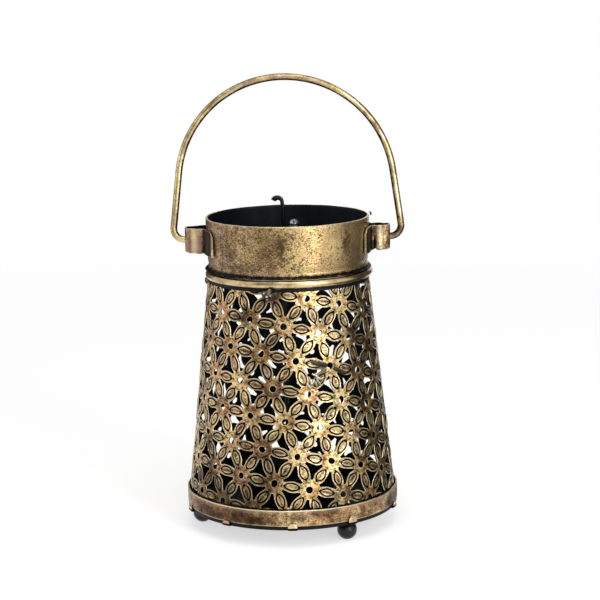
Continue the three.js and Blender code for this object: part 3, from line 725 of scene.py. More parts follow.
def petal_row(x, first=False):
    """A row across half a petal: place, height, groove, worn edge and eye."""
    middle = PITCH / 2
    back = middle - x
    lens = LENS_HALF_WIDTH * max(0.0, 1 - (back / LENS_HALF_LENGTH) ** 2)
    eye = EYE_HALF_WIDTH * max(0.0, 1 - (back / EYE_HALF_LENGTH) ** 2)
    edge = PETAL_HALF - (PETAL_HALF - corner_y) * (back / (middle - corner_x)) ** 2
    if first:
        edge = tip_y
    sunk = 1.0 if lens > 0 else 0.0
    seen = 1.0 if eye > 0 else 0.0
    gap = (lens - eye) * GROOVE_WALL
    middle_height = EYE_RISE if seen else -0.5 * GROOVE_DEPTH * sunk
    end_dirt = 0.85 if sunk else END_DIRT
    return np.array([
        (x, 0, middle_height - 0.09 * seen, 0.40 if seen else end_dirt, 0, 0.6 * seen),
        (x, 0.32 * eye, middle_height, end_dirt * (1 - seen), 0, seen),
        (x, eye, middle_height + 0.05 * seen, end_dirt * (1 - seen), 0.6 * seen, 0),
        (x, eye + gap, -GROOVE_DEPTH * sunk, max(sunk, END_DIRT), 0, 0),
        (x, lens - gap, -GROOVE_DEPTH * sunk, max(sunk, END_DIRT), 0, 0),
        (x, lens, 0.03 * sunk, SIDE_DIRT if sunk else END_DIRT, 0.2 * sunk, 0),
        (x, edge - RIM_WIDTH - EDGE_CHAMFER, 0, 0.5 * SIDE_DIRT, 0.08 * sunk, 0),
        (x, edge - EDGE_CHAMFER, 0.08, 0, 1, 0),
        (x, edge, -0.08, 0, 0.8, 0),
    ])


def flower_twelfth():
    """The metal from a hub's hole to the middle of a petal, on one side of the petal's axis.
    Rows run from the hub outwards. Columns run from the petal's axis to its edge."""
    rows = [hub_row(HOLE_RADIUS, 0.5, -0.07, 0.9), hub_row(HOLE_RADIUS + 0.2, 0.5, 0, 0.3),
            hub_row(HOLE_RADIUS + 0.45, 0.5, 0, 0.05), hub_row(HUB_RADIUS, 0.6, 0, 0, 0.55, HUB_DIRT),
            petal_row(tip_x, first=True), petal_row(corner_x)]
    rows += [petal_row(PITCH / 2 - back) for back in (EYE_HALF_LENGTH, 2.3, 1.1, 0)]
    table = np.array(rows)
    width = table.shape[1]
    faces = ring_faces(*table.shape[:2], wrap_points=False)
    points = table[..., :3].reshape(-1, 3)

    # The walls of the opening and of the hub's hole, and the plain inner face
    hole = [0, 6, width - 1]
    opening = [(row + 1) * width - 1 for row in range(4, len(rows))]
    corners = hole + opening + [(len(rows) - 1) * width]
    under = {corner: len(points) + number for number, corner in enumerate(corners)}
    below = points[corners] * (1, 1, 0) - (0, 0, SHADE_SHEET)
    walls = [(a, b, under[b], under[a]) for chain in (hole, opening) for a, b in zip(chain, chain[1:])]
    slots = [0] * len(faces) + [1] * (len(walls) + 1)
    faces += walls + [tuple(under[corner] for corner in corners)]
    masks = np.vstack([table[..., 3:].reshape(-1, 3), np.zeros((len(corners), 3))])
    groove, worn, eye = masks.T
    return part(np.vstack([points, below]), faces, slots, groove=groove, worn=worn, eye=eye)


def placed(piece, place):
    """A copy of a flat part, moved by a 2 x 3 matrix."""
    points = piece["points"].copy()
    points[:, :2] = points[:, :2] @ place[:, :2].T + place[:, 2]
    return {**piece, "points": points}


def flat_turn(degrees, centre):
    cos, sin = math.cos(math.radians(degrees)), math.sin(math.radians(degrees))
    turn = np.array([[cos, -sin], [sin, cos]])
    return np.column_stack([turn, np.array(centre) - turn @ np.array(centre)])


def flower_cell():
    """Twelve twelfths: two triangles, which share the side between the second and third hubs."""
    twelfth = flower_twelfth()
    mirror = np.array([[math.cos(math.radians(60)), math.sin(math.radians(60)), 0],
                       [math.sin(math.radians(60)), -math.cos(math.radians(60)), 0]])
    centre = (PITCH / 2, PITCH / 2 / math.sqrt(3))
    shared_side = (0.75 * PITCH, PITCH * math.sqrt(3) / 4)
    cell = []
    for half in (twelfth, placed(twelfth, mirror)):
        for degrees in (0, 120, 240):
            piece = placed(half, flat_turn(degrees, centre))
            cell += [piece, placed(piece, flat_turn(180, shared_side))]
    return cell


shade = build("shade_sheet", flower_cell(), [sheet_brass, inside_black])
print("cell faces:", len(shade.data.polygons))

# %% [markdown]
# A maker would stamp the flowers row by row. Here a tree of nodes makes the lattice, puts a
# cell on each of its points, and opens the flat sheet out, so that one axis is the turn about
# the lantern and the other is the way up the slant. Changing a size changes all the flowers.

# %% Helpers for the trees
def shaping_tree(name, sizes):
    """A tree that takes a geometry and a named number for each size, and gives a geometry."""
    sorts = {key: "Int" if isinstance(value, int) else "Float" for key, value in sizes.items()}
    return new_group(name, "GeometryNodeTree", {"Geometry": "Geometry", **sorts}, {"Geometry": "Geometry"})


def run_tree(piece, tree, sizes):
    """Runs a tree on a piece, and keeps the result as its plain mesh."""
    modifier = piece.modifiers.new(tree.name, "NODES")
    modifier.node_group = tree
    for socket in tree.interface.items_tree:
        if socket.in_out == "INPUT" and socket.name in sizes:
            modifier[socket.identifier] = sizes[socket.name]
    piece.update_tag()
    keep_result(piece, modifier)


def moved(shape, x, y, z):
    """The geometry with its points moved to this place."""
    tree = shape.node.id_data
    place = add(tree, "ShaderNodeCombineXYZ", {0: x, 1: y, 2: z})
    return add(tree, "GeometryNodeSetPosition", {"Geometry": shape, "Position": place})


def here(tree):
    return add(tree, "ShaderNodeSeparateXYZ", {0: add(tree, "GeometryNodeInputPosition")})


# %% The flat sheet
sheet_sizes = {"Pitch": PITCH, "Slope": math.radians(SLOPE_DEG), "Count": 41, "Across": FIRST_ACROSS,
               "Up": FIRST_UP, "Apex": apex, "Sine": sine, "Slant": slant, "Base Radius": base_radius}
tree, size, output = shaping_tree("flower_sheet", sheet_sizes)
count = size["Count"]
grid = add(tree, "GeometryNodeMeshGrid", {
    "Size X": count - 1.0, "Size Y": count - 1.0, "Vertices X": count, "Vertices Y": count})
i, j, _ = here(tree)
steep = size["Slope"] + math.pi / 3


def lattice_axis(function, first):
    """One axis of the hubs' places: two steps of a pitch, 60 degrees apart."""
    return (j * maths(function, steep) + i * maths(function, size["Slope"])) * size["Pitch"] + first


def unrolled(tree):
    """The turn about the axis, as a length at the base, and the way up the slant."""
    x, y, z = here(tree)
    down = size["Apex"] - y
    turn = maths("ARCTAN2", x, down) / size["Sine"]
    reach = maths("SQRT", x * x + down * down)
    return turn * size["Base Radius"], size["Apex"] - reach, z


hubs = moved(grid, lattice_axis("COSINE", size["Across"]), lattice_axis("SINE", size["Up"]), 0.0)
turn, up, _ = unrolled(tree)
beyond = maths("GREATER_THAN", maths("ABSOLUTE", turn), size["Base Radius"] * math.pi + size["Pitch"] * 3.0)
below = maths("LESS_THAN", up, size["Pitch"] * -2.0)
above = maths("GREATER_THAN", up, size["Slant"] + size["Pitch"] * 2.0)
spare = maths("MAXIMUM", beyond, maths("MAXIMUM", below, above))
kept = add(tree, "GeometryNodeDeleteGeometry", {"Geometry": hubs, "Selection": spare})
turned_cell = add(tree, "ShaderNodeCombineXYZ", {2: size["Slope"]})
copies = add(tree, "GeometryNodeInstanceOnPoints", {
    "Points": kept, "Instance": size["Geometry"], "Rotation": turned_cell})
real = add(tree, "GeometryNodeRealizeInstances", {"Geometry": copies})
joined = add(tree, "GeometryNodeMergeByDistance", {"Geometry": real, "Distance": 0.02})
feed(output, {"Geometry": moved(joined, *unrolled(tree))})

shade.data.transform(Matrix.Scale(1 / MM, 4))
run_tree(shade, tree, sheet_sizes)
print("flat sheet:", len(shade.data.polygons), "faces")

# %% [markdown]
# The sheet was cut to a fan before it was rolled. On the opened sheet every trim is straight,
# so four flat cuts give it its edges, and the faces that close them count as inner ones.

# %% Trim the sheet
SEAM_LAP = 5.0
HEM_DROP = 1.0
TOP_HEM = 1.2
CUT_REACH = 0.0005
seam = math.pi * base_radius - SEAM_LAP / 2
trims = [((seam, 0, 0), (1, 0, 0)), ((-seam, 0, 0), (-1, 0, 0)),
         ((0, -HEM_DROP, 0), (0, -1, 0)), ((0, slant - TOP_HEM, 0), (0, 1, 0))]
work = bmesh.new()
work.from_mesh(shade.data)
for point, outward in trims:
    everything = work.verts[:] + work.edges[:] + work.faces[:]
    cut = bmesh.ops.bisect_plane(
        work, geom=everything, dist=CUT_REACH, plane_co=point, plane_no=outward, clear_outer=True)
    rim = [each for each in cut["geom_cut"] if isinstance(each, bmesh.types.BMEdge) and each.is_boundary]
    for face in bmesh.ops.holes_fill(work, edges=rim, sides=0)["faces"]:
        face.material_index = 1
open_edges = sum(edge.is_boundary for edge in work.edges)
work.to_mesh(shade.data)
work.free()
print("trimmed sheet:", len(shade.data.polygons), "faces,", open_edges, "open edges")

# %% [markdown]
# A second tree rolls the trimmed sheet into its cone. Hand work left the real one uneven:
# noise pushes the sheet in and out and lets the rows drift, but not at the hems.

# %% Roll it into the cone
LUMP_SCALE = 0.055
DRIFT_SCALE = 0.15
HEM_FADE = 0.1
roll_sizes = {"Base Radius": base_radius, "Sine": sine, "Cosine": cosine, "Band Top": band_top,
              "Slant": slant, "Unevenness": 1.3, "Drift": 1.8}
tree, size, output = shaping_tree("roll_into_a_cone", roll_sizes)
across, up, out = here(tree)
flat = add(tree, "GeometryNodeInputPosition")
fading = maths("MULTIPLY", maths("MINIMUM", up, size["Slant"] - up), HEM_FADE, clamp=True)
lumps = add(tree, "ShaderNodeTexNoise", {"Vector": flat, "Scale": LUMP_SCALE, "Detail": 1.5})
out = (lumps - 0.55) * size["Unevenness"] * fading + out
drift = add(tree, "ShaderNodeTexNoise", {"Vector": flat, "Scale": DRIFT_SCALE, "Detail": 1.0})["Color"]
drift = add(tree, "ShaderNodeSeparateXYZ", {0: drift})
allowed = fading * size["Drift"]
across = (drift[0] - 0.5) * allowed + across
up = (drift[1] - 0.5) * allowed + up
turn = across / size["Base Radius"]
on_cone = maths("MAXIMUM", up, 0.0)
radius = size["Base Radius"] - on_cone * size["Sine"] + out * size["Cosine"]
height = on_cone * size["Cosine"] + size["Band Top"] + maths("MINIMUM", up, 0.0) + out * size["Sine"]
x = radius * maths("SINE", turn) * MM
y = radius * maths("COSINE", turn) * -MM
rolled = moved(size["Geometry"], x, y, height * MM)
finished = add(tree, "GeometryNodeRealizeInstances", {"Geometry": rolled})
number = add(tree, "GeometryNodeInputMaterialIndex")
for slot, material in enumerate((sheet_brass, inside_black)):
    chosen = add(tree, "FunctionNodeCompare", {2: number, 3: slot}, data_type="INT", operation="EQUAL")
    finished = add(tree, "GeometryNodeSetMaterial", {
        "Geometry": finished, "Selection": chosen, "Material": material})
feed(output, {"Geometry": finished})
run_tree(shade, tree, roll_sizes)
smooth(shade.data, 50)

# Stains round the solder marks, and painted shade: a dark belt low on the sheet just above the band, and a
# darker right flank. Patches low on the left are darker too.
SHADE_STAINS_AND_SHADE = [
    (17, 79, 5.5, 4.2, 1.0), (-14, 118, 8, 5, 1.0), (24, 84, 10, 2.5, 0.7), (-33, 108, 9, 6, 0.8),
    (-20, 70, 12, 5, 0.35), (48, 96, 9, 9, 0.5), (-45, 25, 30, 6, 0.8), (30, 24, 14, 4, 0.5),
    (-20, 40, 12, 16, 0.55), (66, 50, 20, 34, 0.5), (62, 95, 14, 22, 0.35), (0, 20, 60, 3, 0.5),
    (-58, 42, 14, 18, 0.45)]
places = np.zeros(3 * len(shade.data.vertices))
shade.data.vertices.foreach_get("co", places)
places = places.reshape(-1, 3) / MM
groove = np.zeros(len(places))
shade.data.attributes["groove"].data.foreach_get("value", groove)
# Painted shadow: a thin black line on the sheet just above the band, for the dark gap between them
shadow_above_band = ramp(places[:, 2], band_top + 1.0, band_top + 0.5)
for key, values in (("stain", stains_at(places, SHADE_STAINS_AND_SHADE)), ("groove", np.maximum(groove, shadow_above_band))):
    shade.data.attributes[key].data.foreach_set("value", values.astype(np.float32))
settle(shade, "body", "antique_brass", "pierced_shade")
print("materials on the sheet:", [material.name for material in shade.data.materials])

# %% [markdown]
# The sheet's plain margins are separate strips: a skirt inside the rim band, a hem under
# the neck ring, and the lap down the back where the rolled sheet is soldered to itself.
# The solder that ran out on the front, and a long scar there, are lumpy balls and ridges
# laid on the cone. Smooth noise roughens them, since no two such marks are alike.

# %% Hems, lap and solder of the shade
def on_shade(turn, up, out):
    """A point on the rolled sheet, from its turn, its way up the slant and its distance out."""
    climb = np.maximum(up, 0)
    radius = base_radius - climb * sine + out * cosine
    height = band_top + climb * cosine + np.minimum(up, 0) + out * sine
    return at_turn(turn, radius, height)


def shade_hoop(low, high, steps=192):
    """A closed strip right round the shade, from one slant height to another, black all over. Under the neck
    ring this black hem is painted shade.
    """
    outline = np.array([(low, 0), (high - 0.15, 0), (high, -0.15), (high, -SHADE_SHEET), (low, -SHADE_SHEET)])
    points = on_shade(whole_turn(steps), outline[:, 0], outline[:, 1])
    return part(points, ring_faces(steps, len(outline), wrap_rings=True), 1)


def shade_lap(low, high, proud=0.25, steps=60):
    """The lap down the back of the shade, a little proud of the sheet."""
    half = SEAM_LAP / 2 + 0.6
    section = np.array([(-half, -0.1), (-half + 0.2, proud), (half - 0.2, proud), (half, -0.1),
                        (half, -SHADE_SHEET), (-half, -SHADE_SHEET)])
    ups = np.linspace(low, high, steps)[:, None]
    turns = math.pi + section[:, 0] / (base_radius - np.maximum(ups, 0) * sine)
    slots = [0, 0, 0, 1, 1, 1] * (steps - 1) + [1, 1]
    worn = np.tile([0.6, 0.6, 0.6, 0.6, 0, 0], steps)
    return part(on_shade(turns, ups, section[:, 1]), ring_faces(steps, len(section)), slots, worn=worn)


def blob(turn_deg, up, out, wide, tall, thick, seed):
    """A lump of solder on the shade: a ball made lumpy with noise and pressed flat."""
    tilt = np.linspace(-math.pi / 2, math.pi / 2, 14)[:, None]
    spin = whole_turn(20).T
    x, y, z = np.cos(tilt) * np.sin(spin), np.sin(tilt), np.cos(tilt) * np.cos(spin)
    lumpy = 1 + 0.5 * bumpy(2.4 * x + seed, 2.4 * y, 2.4 * z)
    turn = math.radians(turn_deg) + x * lumpy * wide / (base_radius - up * sine)
    points = on_shade(turn, up + y * lumpy * tall, out + z * lumpy * thick)
    return part(points, ring_faces(*x.shape), worn=ramp(z * lumpy, 1.02, 1.22), stain=0.6)


def bead(route, width, thick, seed, worn_edge, steps=70, stain=0.0):
    """A rough ridge that lies on the shade, along a route of (turn in degrees, slant height)."""
    place = np.linspace(0, 1, steps)
    turn, up = (np.interp(place, np.linspace(0, 1, len(route)), column) for column in np.array(route).T)
    turn = np.radians(turn)
    girth = base_radius - up * sine
    along = unit(np.stack([np.gradient(turn) * girth, np.gradient(up)], -1))
    rough = bumpy(9 * place, seed, 0)
    swell = np.sqrt(np.clip(1 - np.abs(2 * place - 1) ** 6, 0, 1)) * (1 + 0.5 * rough)
    section = np.array([(-0.5, -0.15), (-0.42, 0.3), (-0.2, 0.8), (0.1, 1.0), (0.32, 0.7), (0.5, -0.15)])
    side = section[:, 0] * width * swell[:, None] + 0.25 * rough[:, None]
    jagged = 1 + 0.35 * bumpy(40 * place[:, None], seed, 3 * section[:, 0])
    lift = section[:, 1] * thick * swell[:, None] * jagged
    turn = turn[:, None] - side * along[:, 1:] / girth[:, None]
    points = on_shade(turn, up[:, None] + side * along[:, :1], lift)
    worn = np.tile(np.array([0.4, 0.3, 0, 0.4, 1, 1]) * worn_edge, steps)
    return part(points, ring_faces(steps, len(section)), worn=worn, stain=stain)


skirt_low = shade_low[2] - band_top
hems = build("shade_hems", [
    shade_hoop(skirt_low, -HEM_DROP + 0.2),
    shade_hoop(slant - TOP_HEM - 0.1, slant + 0.3),
    shade_lap(skirt_low, slant - 0.05),
], [sheet_brass, inside_black])
settle(hems, "body", "antique_brass")

scars = build("solder_marks", [
    blob(-16.4, 101.0, 0.4, 1.3, 1.2, 0.8, 2.0),
    blob(-14.6, 99.9, 0.4, 1.5, 1.1, 0.9, 5.0),
    blob(-13.0, 101.3, 0.5, 1.5, 1.4, 0.9, 3.4),
    blob(-11.4, 100.3, 0.4, 1.2, 1.0, 0.7, 6.2),
    blob(-14.2, 98.4, 0.3, 0.9, 0.9, 0.6, 9.1),
    blob(-12.2, 102.2, 1.6, 0.8, 1.3, 1.0, 4.3),
    blob(-88, 101.6, 0.4, 1.2, 1.6, 0.9, 8.0),
    bead([(-2.7, 74.9), (1.0, 72.5), (2.6, 71.0)], 0.9, 0.3, 3.0, 0.2, 24),
    bead([(5.6, 69.2), (8.2, 67.6)], 0.6, 0.25, 4.0, 0.3, 14),
    bead([(13.5, 69.1), (20.6, 67.5), (24.4, 66.6)], 2.2, 0.45, 6.0, 0.15, 40, 1.0),
    bead([(28.0, 65.4), (32.5, 63.6), (37.3, 61.5)], 2.2, 0.45, 7.0, 0.15, 36, 1.0),
    bead([(12.5, 70.4), (18.6, 69.2), (23.4, 67.9)], 0.6, 0.5, 8.0, 1.0, 30),
    bead([(29.0, 66.1), (33.5, 64.2), (37.3, 62.6)], 0.6, 0.5, 9.0, 1.0, 30),
    bead([(11.6, 62.6), (13.4, 58.2), (15.2, 60.4), (16.6, 57.4)], 1.1, 0.35, 11.0, 1.0, 36),
    bead([(13.6, 63.4), (16.4, 62.6), (19.0, 60.6), (21.6, 61.4)], 1.1, 0.35, 12.0, 1.0, 36),
    bead([(15.8, 63.8), (17.2, 60.2), (19.4, 57.6)], 0.9, 0.35, 13.0, 1.0, 30),
    bead([(9.8, 59.2), (12.0, 57.0), (14.4, 57.6)], 0.9, 0.35, 14.0, 1.0, 24),
], [solder], sharp_deg=60)
settle(scars, "body", "antique_brass")

# %% [markdown]
# ## Band, neck ring and collar
# The band is a flat hoop soldered round the foot of the shade. It could be a plain cylinder,
# but it was rolled by hand, so its outline is turned about the axis and wanders a little as
# it goes round. The wander is smooth noise on a circle, which closes on itself.

# %% Rim band
def wander(turn, size, waves, seed):
    """Smooth noise round a circle, up to about this size."""
    return size * bumpy(waves * np.sin(turn), waves * np.cos(turn), seed)


def oval(turn):
    """The band was pressed a little wider from ear to ear."""
    return 0.42 * np.sin(turn) ** 2


DENT_TURN = math.radians(74)
DENT_WIDTH = math.radians(5)
DENT_DEPTH = 0.55
BAND_STAINS = [
    (-33, 13.5, 9, 3.0, 1.0), (-52, 14, 12, 5, 0.7), (3, 15.2, 7, 1.8, 1.0), (66, 14, 4, 6, 1.0),
    (40, 12.5, 14, 1.8, 0.6), (-20, 13.5, 7, 3.5, 0.9), (-8, 12, 8, 1.6, 0.7), (78, 14, 8, 5, 0.7),
    (100, 14, 20, 4, 0.5), (170, 15, 25, 3, 0.5)]
band_out = band_high[0]
band_in = band_out - BAND_SHEET
band_foot = band_low[2]


def band_wave(turn, radius, height):
    dent = DENT_DEPTH * np.exp(-((turn - DENT_TURN) / DENT_WIDTH) ** 2)
    lower = (height - band_foot) / (band_top - band_foot)
    radius = radius - 0.12 + oval(turn) + wander(turn, 0.12, 5, 1.0) - dent * lower
    return radius, height + wander(turn, 0.12, 4, 7.0) * lower


band_outline = [(band_out - 0.15, band_foot)]
band_outline += [(band_out, height) for height in (
    band_foot + 0.25, band_foot + 0.8, band_foot + 2.4, (band_foot + band_top) / 2,
    band_top - 2.2, band_top - 0.55, band_top - 0.2)]
band_outline += [(band_out - 0.2, band_top), (band_in + 0.15, band_top), (band_in, band_top - 0.2),
                 (band_in, band_foot)]
hoop = turned(band_outline, 240, wave=band_wave, slots=[0] * 9 + [1] * 3, stains=BAND_STAINS,
              worn=[0.1, 0.5, 0, 0, 0, 0, 0.15, 0.9, 1, 0.6, 0, 0], groove=[0.8, 0.15] + [0] * 10)
settle(build("rim_hoop", [hoop], [band_brass, inside_black]), "body", "antique_brass", "rim_band")

# %% [markdown]
# The ring is a wire hoop that covers the joint of shade and collar: a circle, turned the same
# way. It sits a little to one side and droops on the left. Black paint stays under it and on
# its inner side, which shows in the lantern's mouth.

# %% Neck ring
ring_low, ring_high = box_mm("neck_ring")
ring_tube = (ring_high[2] - ring_low[2]) / 2
ring_radius = ring_high[0] - ring_tube
ring_centre = (ring_low[2] + ring_high[2]) / 2
RING_SHIFT = 0.45
RING_DROOP = 0.5
RING_SIDES = 20
RING_STAINS = [
    (-11, ring_centre, 3.5, 6, 1.0), (-33, ring_centre, 9, 6, 0.6), (-62, ring_centre, 8, 6, 0.6),
    (38, ring_centre, 7, 6, 0.4), (150, ring_centre, 20, 6, 0.7)]


def ring_wave(turn, radius, height):
    droop = RING_DROOP * np.clip(-np.sin(turn), 0, 1) ** 2
    return radius + RING_SHIFT * np.sin(turn), height - droop + wander(turn, 0.1, 3, 2.0)


last_deg = 270 - 360 / RING_SIDES
around_wire = np.radians(np.linspace(-90, last_deg, RING_SIDES))
dirt_below = np.clip(-np.sin(around_wire) * 3 - 2.16, 0, 0.8)
dirt_inside = np.clip(-np.cos(around_wire) * 3 - 0.9, 0, 1)
ring_outline = arc((ring_radius, ring_centre), ring_tube - 0.02, -90, last_deg, RING_SIDES - 1)
dirt = np.maximum(dirt_below, dirt_inside)
hoop = turned(ring_outline, 240, wave=ring_wave, stains=RING_STAINS, groove=dirt)
settle(build("neck_wire", [hoop], [wire_brass]), "body", "wire_brass", "neck_ring")

# %% [markdown]
# The collar is a short rolled tube with a flared foot, black inside. One outline makes it,
# and a strip laid on its back wall is the lap where its ends meet. A burr curls on the rim.

# %% Collar
collar_low, collar_high = box_mm("collar")
COLLAR_SHEET = 1.0
RIM_FLARE = 1.1
FOOT_FLARE = 1.8
FOOT_RISE = 2.7
LAP_WIDTH = 12.0
SEAM_TURN = math.radians(175.5)
COLLAR_STAINS = [
    (-4, 142, 6, 5, 1.0), (-2, 134, 8, 4, 0.6), (-16, 139, 7, 9, 0.6), (-46, 138, 10, 10, 0.5),
    (45, 138, 5, 14, 0.9), (12, 145, 6, 3, 0.3), (-15, 130.5, 30, 1.8, 0.5), (110, 139, 14, 8, 0.5),
    (-120, 136, 18, 7, 0.6)]
collar_waist = collar_low[2] + FOOT_RISE
rim_top = collar_high[2]


def up_collar(height):
    """How far up the collar's wall a height is, from nought at the waist to one at the rim."""
    return ramp(height, collar_waist, rim_top)


def collar_radius(height):
    return ring_radius + RIM_FLARE * np.sqrt(up_collar(height))


def collar_wave(turn, radius, height):
    share = up_collar(height)
    radius = radius - 0.1 + wander(turn, 0.22, 3.5, 4.0) * share
    return radius, height - 0.06 + wander(turn, 0.12, 4, 5.0) * share


foot_share = np.linspace(0, 1, 9)[:-1]
foot_radius = ring_radius + FOOT_FLARE * (1 - np.sin(foot_share * math.pi / 2))
wall_height = np.linspace(collar_waist, rim_top - 0.2, 18)
outside = np.concatenate([
    np.stack([foot_radius, collar_low[2] + FOOT_RISE * foot_share], -1),
    np.stack([collar_radius(wall_height), wall_height], -1),
    [(collar_radius(rim_top) - 0.18, rim_top)],
])
inside = outside[::-1] - (COLLAR_SHEET, 0)
inside[0, 0] += 0.3
outline = np.concatenate([outside, inside])
worn = np.zeros(len(outline))
worn[len(outside) - 2: len(outside) + 1] = (0.15, 0.75, 0.5)
groove = np.zeros(len(outline))
groove[0:8] = (0.85, 0.6, 0.72, 0.78, 0.6, 0.42, 0.25, 0.1)
tube = turned(outline, 240, wave=collar_wave, slots=[0] * len(outside) + [1] * len(inside),
              stains=COLLAR_STAINS, worn=worn, groove=groove)

lap_heights = np.linspace(collar_waist, rim_top - COLLAR_SHEET, 14)[:, None]
lap_across = np.array([-1, -0.97, -0.5, 0, 0.5, 0.97, 1, 1, 0.5, 0, -0.5, -1])
lap_turn = SEAM_TURN + lap_across * (LAP_WIDTH / 2 / ring_radius)
lap_out = np.array([0.7, 0.95, 1, 1, 1, 0.95, 0.7, -0.5, -0.5, -0.5, -0.5, -0.5]) * COLLAR_SHEET
lap = part(at_turn(lap_turn, collar_radius(rim_top) + lap_out, lap_heights), ring_faces(14, 12),
           worn=np.tile([0.8, 0.8, 0, 0, 0, 0.8, 0.8, 0, 0, 0, 0, 0], 14))
burr_path = arc((ring_radius + RIM_FLARE + 0.2, rim_top + 0.25), 0.6, -80, 130, 12)
burr_size = np.linspace(1.3, 0.6, 13)[:, None] * (1, 1.8)
burr = swept(np.insert(burr_path, 1, 0, axis=1), 0.75, 8, widen=burr_size, groove=0.9)
collar = build("collar_band", [tube, lap, burr], [collar_brass, inside_black])
settle(collar, "body", "antique_brass", "collar")

# %% [markdown]
# ## Base plate and feet
# The plate is a black disc. Tongues cut in its edge are folded up over the band, and their
# outsides were rubbed back to brass. One function sweeps them all, in a loop, and a short
# table says how some differ, because they were bent by hand.

# %% Base plate with its tongues
plate_low, plate_high = box_mm("base_plate")
TONGUE_COUNT = 10
TONGUE_WIDTH = 4.4
TONGUE_SHEET = 0.7
TONGUE_BEND = 0.8
TONGUE_ROOT = 3.0
TONGUE_SHADOW = 1.3
PLATE_SHEET = 1.8
PLATE_SETBACK = 0.4

# How some tongues differ: a turn in degrees, a rise, a lean, and how pointed the tip is
HAND_BENT = {1: (-2.8, 0.95, -0.9, 1.0), 9: (-1.4, -1.1, 0.3, 0.3), 8: (0, -0.9, 0, 0), 2: (0, -0.8, 0, 0.5)}
plate_bottom = plate_low[2]
plate_top = plate_bottom + PLATE_SHEET
plate_radius = band_out - PLATE_SETBACK
plate_outline = [
    (0, plate_bottom), (18, plate_bottom), (36, plate_bottom), (plate_radius - 0.3, plate_bottom),
    (plate_radius, plate_bottom + 0.3), (plate_radius, plate_top - 0.2), (plate_radius - 0.2, plate_top),
    (36, plate_top), (18, plate_top), (0, plate_top)]


def tongue(turn, hand_rise, lean, pointed):
    """A strip that comes out under the plate's edge and turns up over the band, with a cut tip."""
    outer = band_out + SEAT_GAP + TONGUE_SHEET - 0.03 + oval(turn)
    crown = plate_high[2] - 0.75 + hand_rise
    front, back = (np.concatenate([
        [(outer - TONGUE_ROOT, plate_bottom + max(0.01, inset))],
        arc((outer - TONGUE_BEND, plate_bottom + TONGUE_BEND), TONGUE_BEND - inset, -90, 0, 5),
        np.stack([np.full(8, outer - inset), np.linspace(plate_bottom + 1.2, crown, 8)], -1),
    ]) for inset in (0, TONGUE_SHEET))
    above = ramp(front[:, 1:], crown - TONGUE_WIDTH / 2 * 0.9, crown + 0.12)
    half = TONGUE_WIDTH / 2 * (1 - above ** (2 - pointed)) ** (0.5 + 0.3 * pointed)
    aside = half * (-1, -0.9, 0, 0.9, 1, 1, -1) + lean * above
    radius = np.hstack([front[:, :1] - (0.12, 0, -0.02, 0, 0.12), back[:, [0, 0]]])
    height = np.hstack([front[:, [1] * 5], back[:, [1, 1]]])
    worn = np.tile([0.8, 0.55, 0.25, 0.55, 0.8, 0, 0], len(front))
    # Painted shade: each tongue is dark where it turns under the plate's edge.
    shade_and_hollow = np.repeat(front[:, 1] < plate_bottom + TONGUE_SHADOW, 7)
    points = at_turn(turn + aside / outer, radius, height)
    return part(points, ring_faces(len(front), 7), 1, worn=worn, groove=shade_and_hollow)


def plate_wave(turn, radius, height):
    """The plate's edge is as oval as the band."""
    return radius + oval(turn) * (radius > plate_radius - 1), height


plate_parts = [turned(plate_outline, closed=False, wave=plate_wave)]
for number in range(TONGUE_COUNT):
    shift_deg, rise, lean, pointed = HAND_BENT.get(number, (0, 0, 0, 0))
    turn = math.tau * number / TONGUE_COUNT + math.radians(shift_deg)
    plate_parts.append(tongue(turn, rise, lean, pointed))
settle(build("base_disc", plate_parts, [inside_black, band_brass]), "body", "black_paint", "base_plate")

# %% [markdown]
# The feet are turned balls, worn flat where they stand. A domed screw holds each of them
# from inside the plate. Both are turned outlines, and a wave sinks the cross in the screw.

# %% Feet and their screws
FOOT_FLAT = 0.15
FOOT_SHANK = 1.2


def screw_outline(radius, height, top, shank, bottom, dome_steps=7):
    """From the crown of a domed head to the end of its shank, as (radius, height) points."""
    ball = (radius ** 2 + height ** 2) / 2 / height
    reach = math.degrees(math.asin(min(1.0, radius / ball)))
    seat = top - height - 0.12
    dome = arc((0, top - ball), ball, 90, 90 - reach, dome_steps)
    return np.concatenate([dome, [(radius - 0.05, seat), (shank, seat), (shank, bottom), (0, bottom)]])


def screw(outline, top, arm=0.42, reach=1.7, depth=0.6):
    """A turned screw, with a cross sunk in the crown of its head."""
    def cross_slot(turn, radius, height):
        near = np.minimum(np.abs(radius * np.sin(turn)), np.abs(radius * np.cos(turn)))
        slot = np.clip((arm - near) / 0.2, 0, 1) * np.clip((reach - radius) / 0.4, 0, 1)
        return radius, height - depth * slot * (height > top - 1.2)
    return turned(outline, 48, closed=False, wave=cross_slot)


for name in ("right", "back", "left"):
    low, high = box_mm(f"ball_foot_{name}")
    radius = (high[0] - low[0]) / 2
    middle = low[2] + radius - FOOT_FLAT
    start, end = (math.degrees(math.asin((height - middle) / radius)) for height in (low[2], high[2]))
    outline = np.concatenate([[(0, low[2])], arc((0, middle), radius, start, end, 22), [(0, high[2])]])
    ball = turned(outline, 48, closed=False)
    ball["points"] += (low + high) / 2 * (1, 1, 0)
    foot = build(f"foot_ball_{name}", [ball], [foot_black], sharp_deg=50)
    settle(foot, "body", "black_gloss", f"ball_foot_{name}")
    low, high = box_mm(f"foot_screw_{name}")
    outline = screw_outline((high[0] - low[0]) / 2, high[2] - plate_top, high[2], FOOT_SHANK, low[2])
    bolt = screw(outline, high[2])
    bolt["points"] += (low + high) / 2 * (1, 1, 0)
    settle(build(f"foot_bolt_{name}", [bolt], [inside_black]), "body", "black_paint", f"foot_screw_{name}")

# %% [markdown]
# ## Seam screw and nut
# The collar's ends lap at the back. A domed screw goes through them from the inside, so its
# head shows in the mouth of the lantern, and a hexagon nut holds it outside. Both are turned
# upright, like the other screws, and then laid along the radius. A turn in six steps makes
# the hexagon.

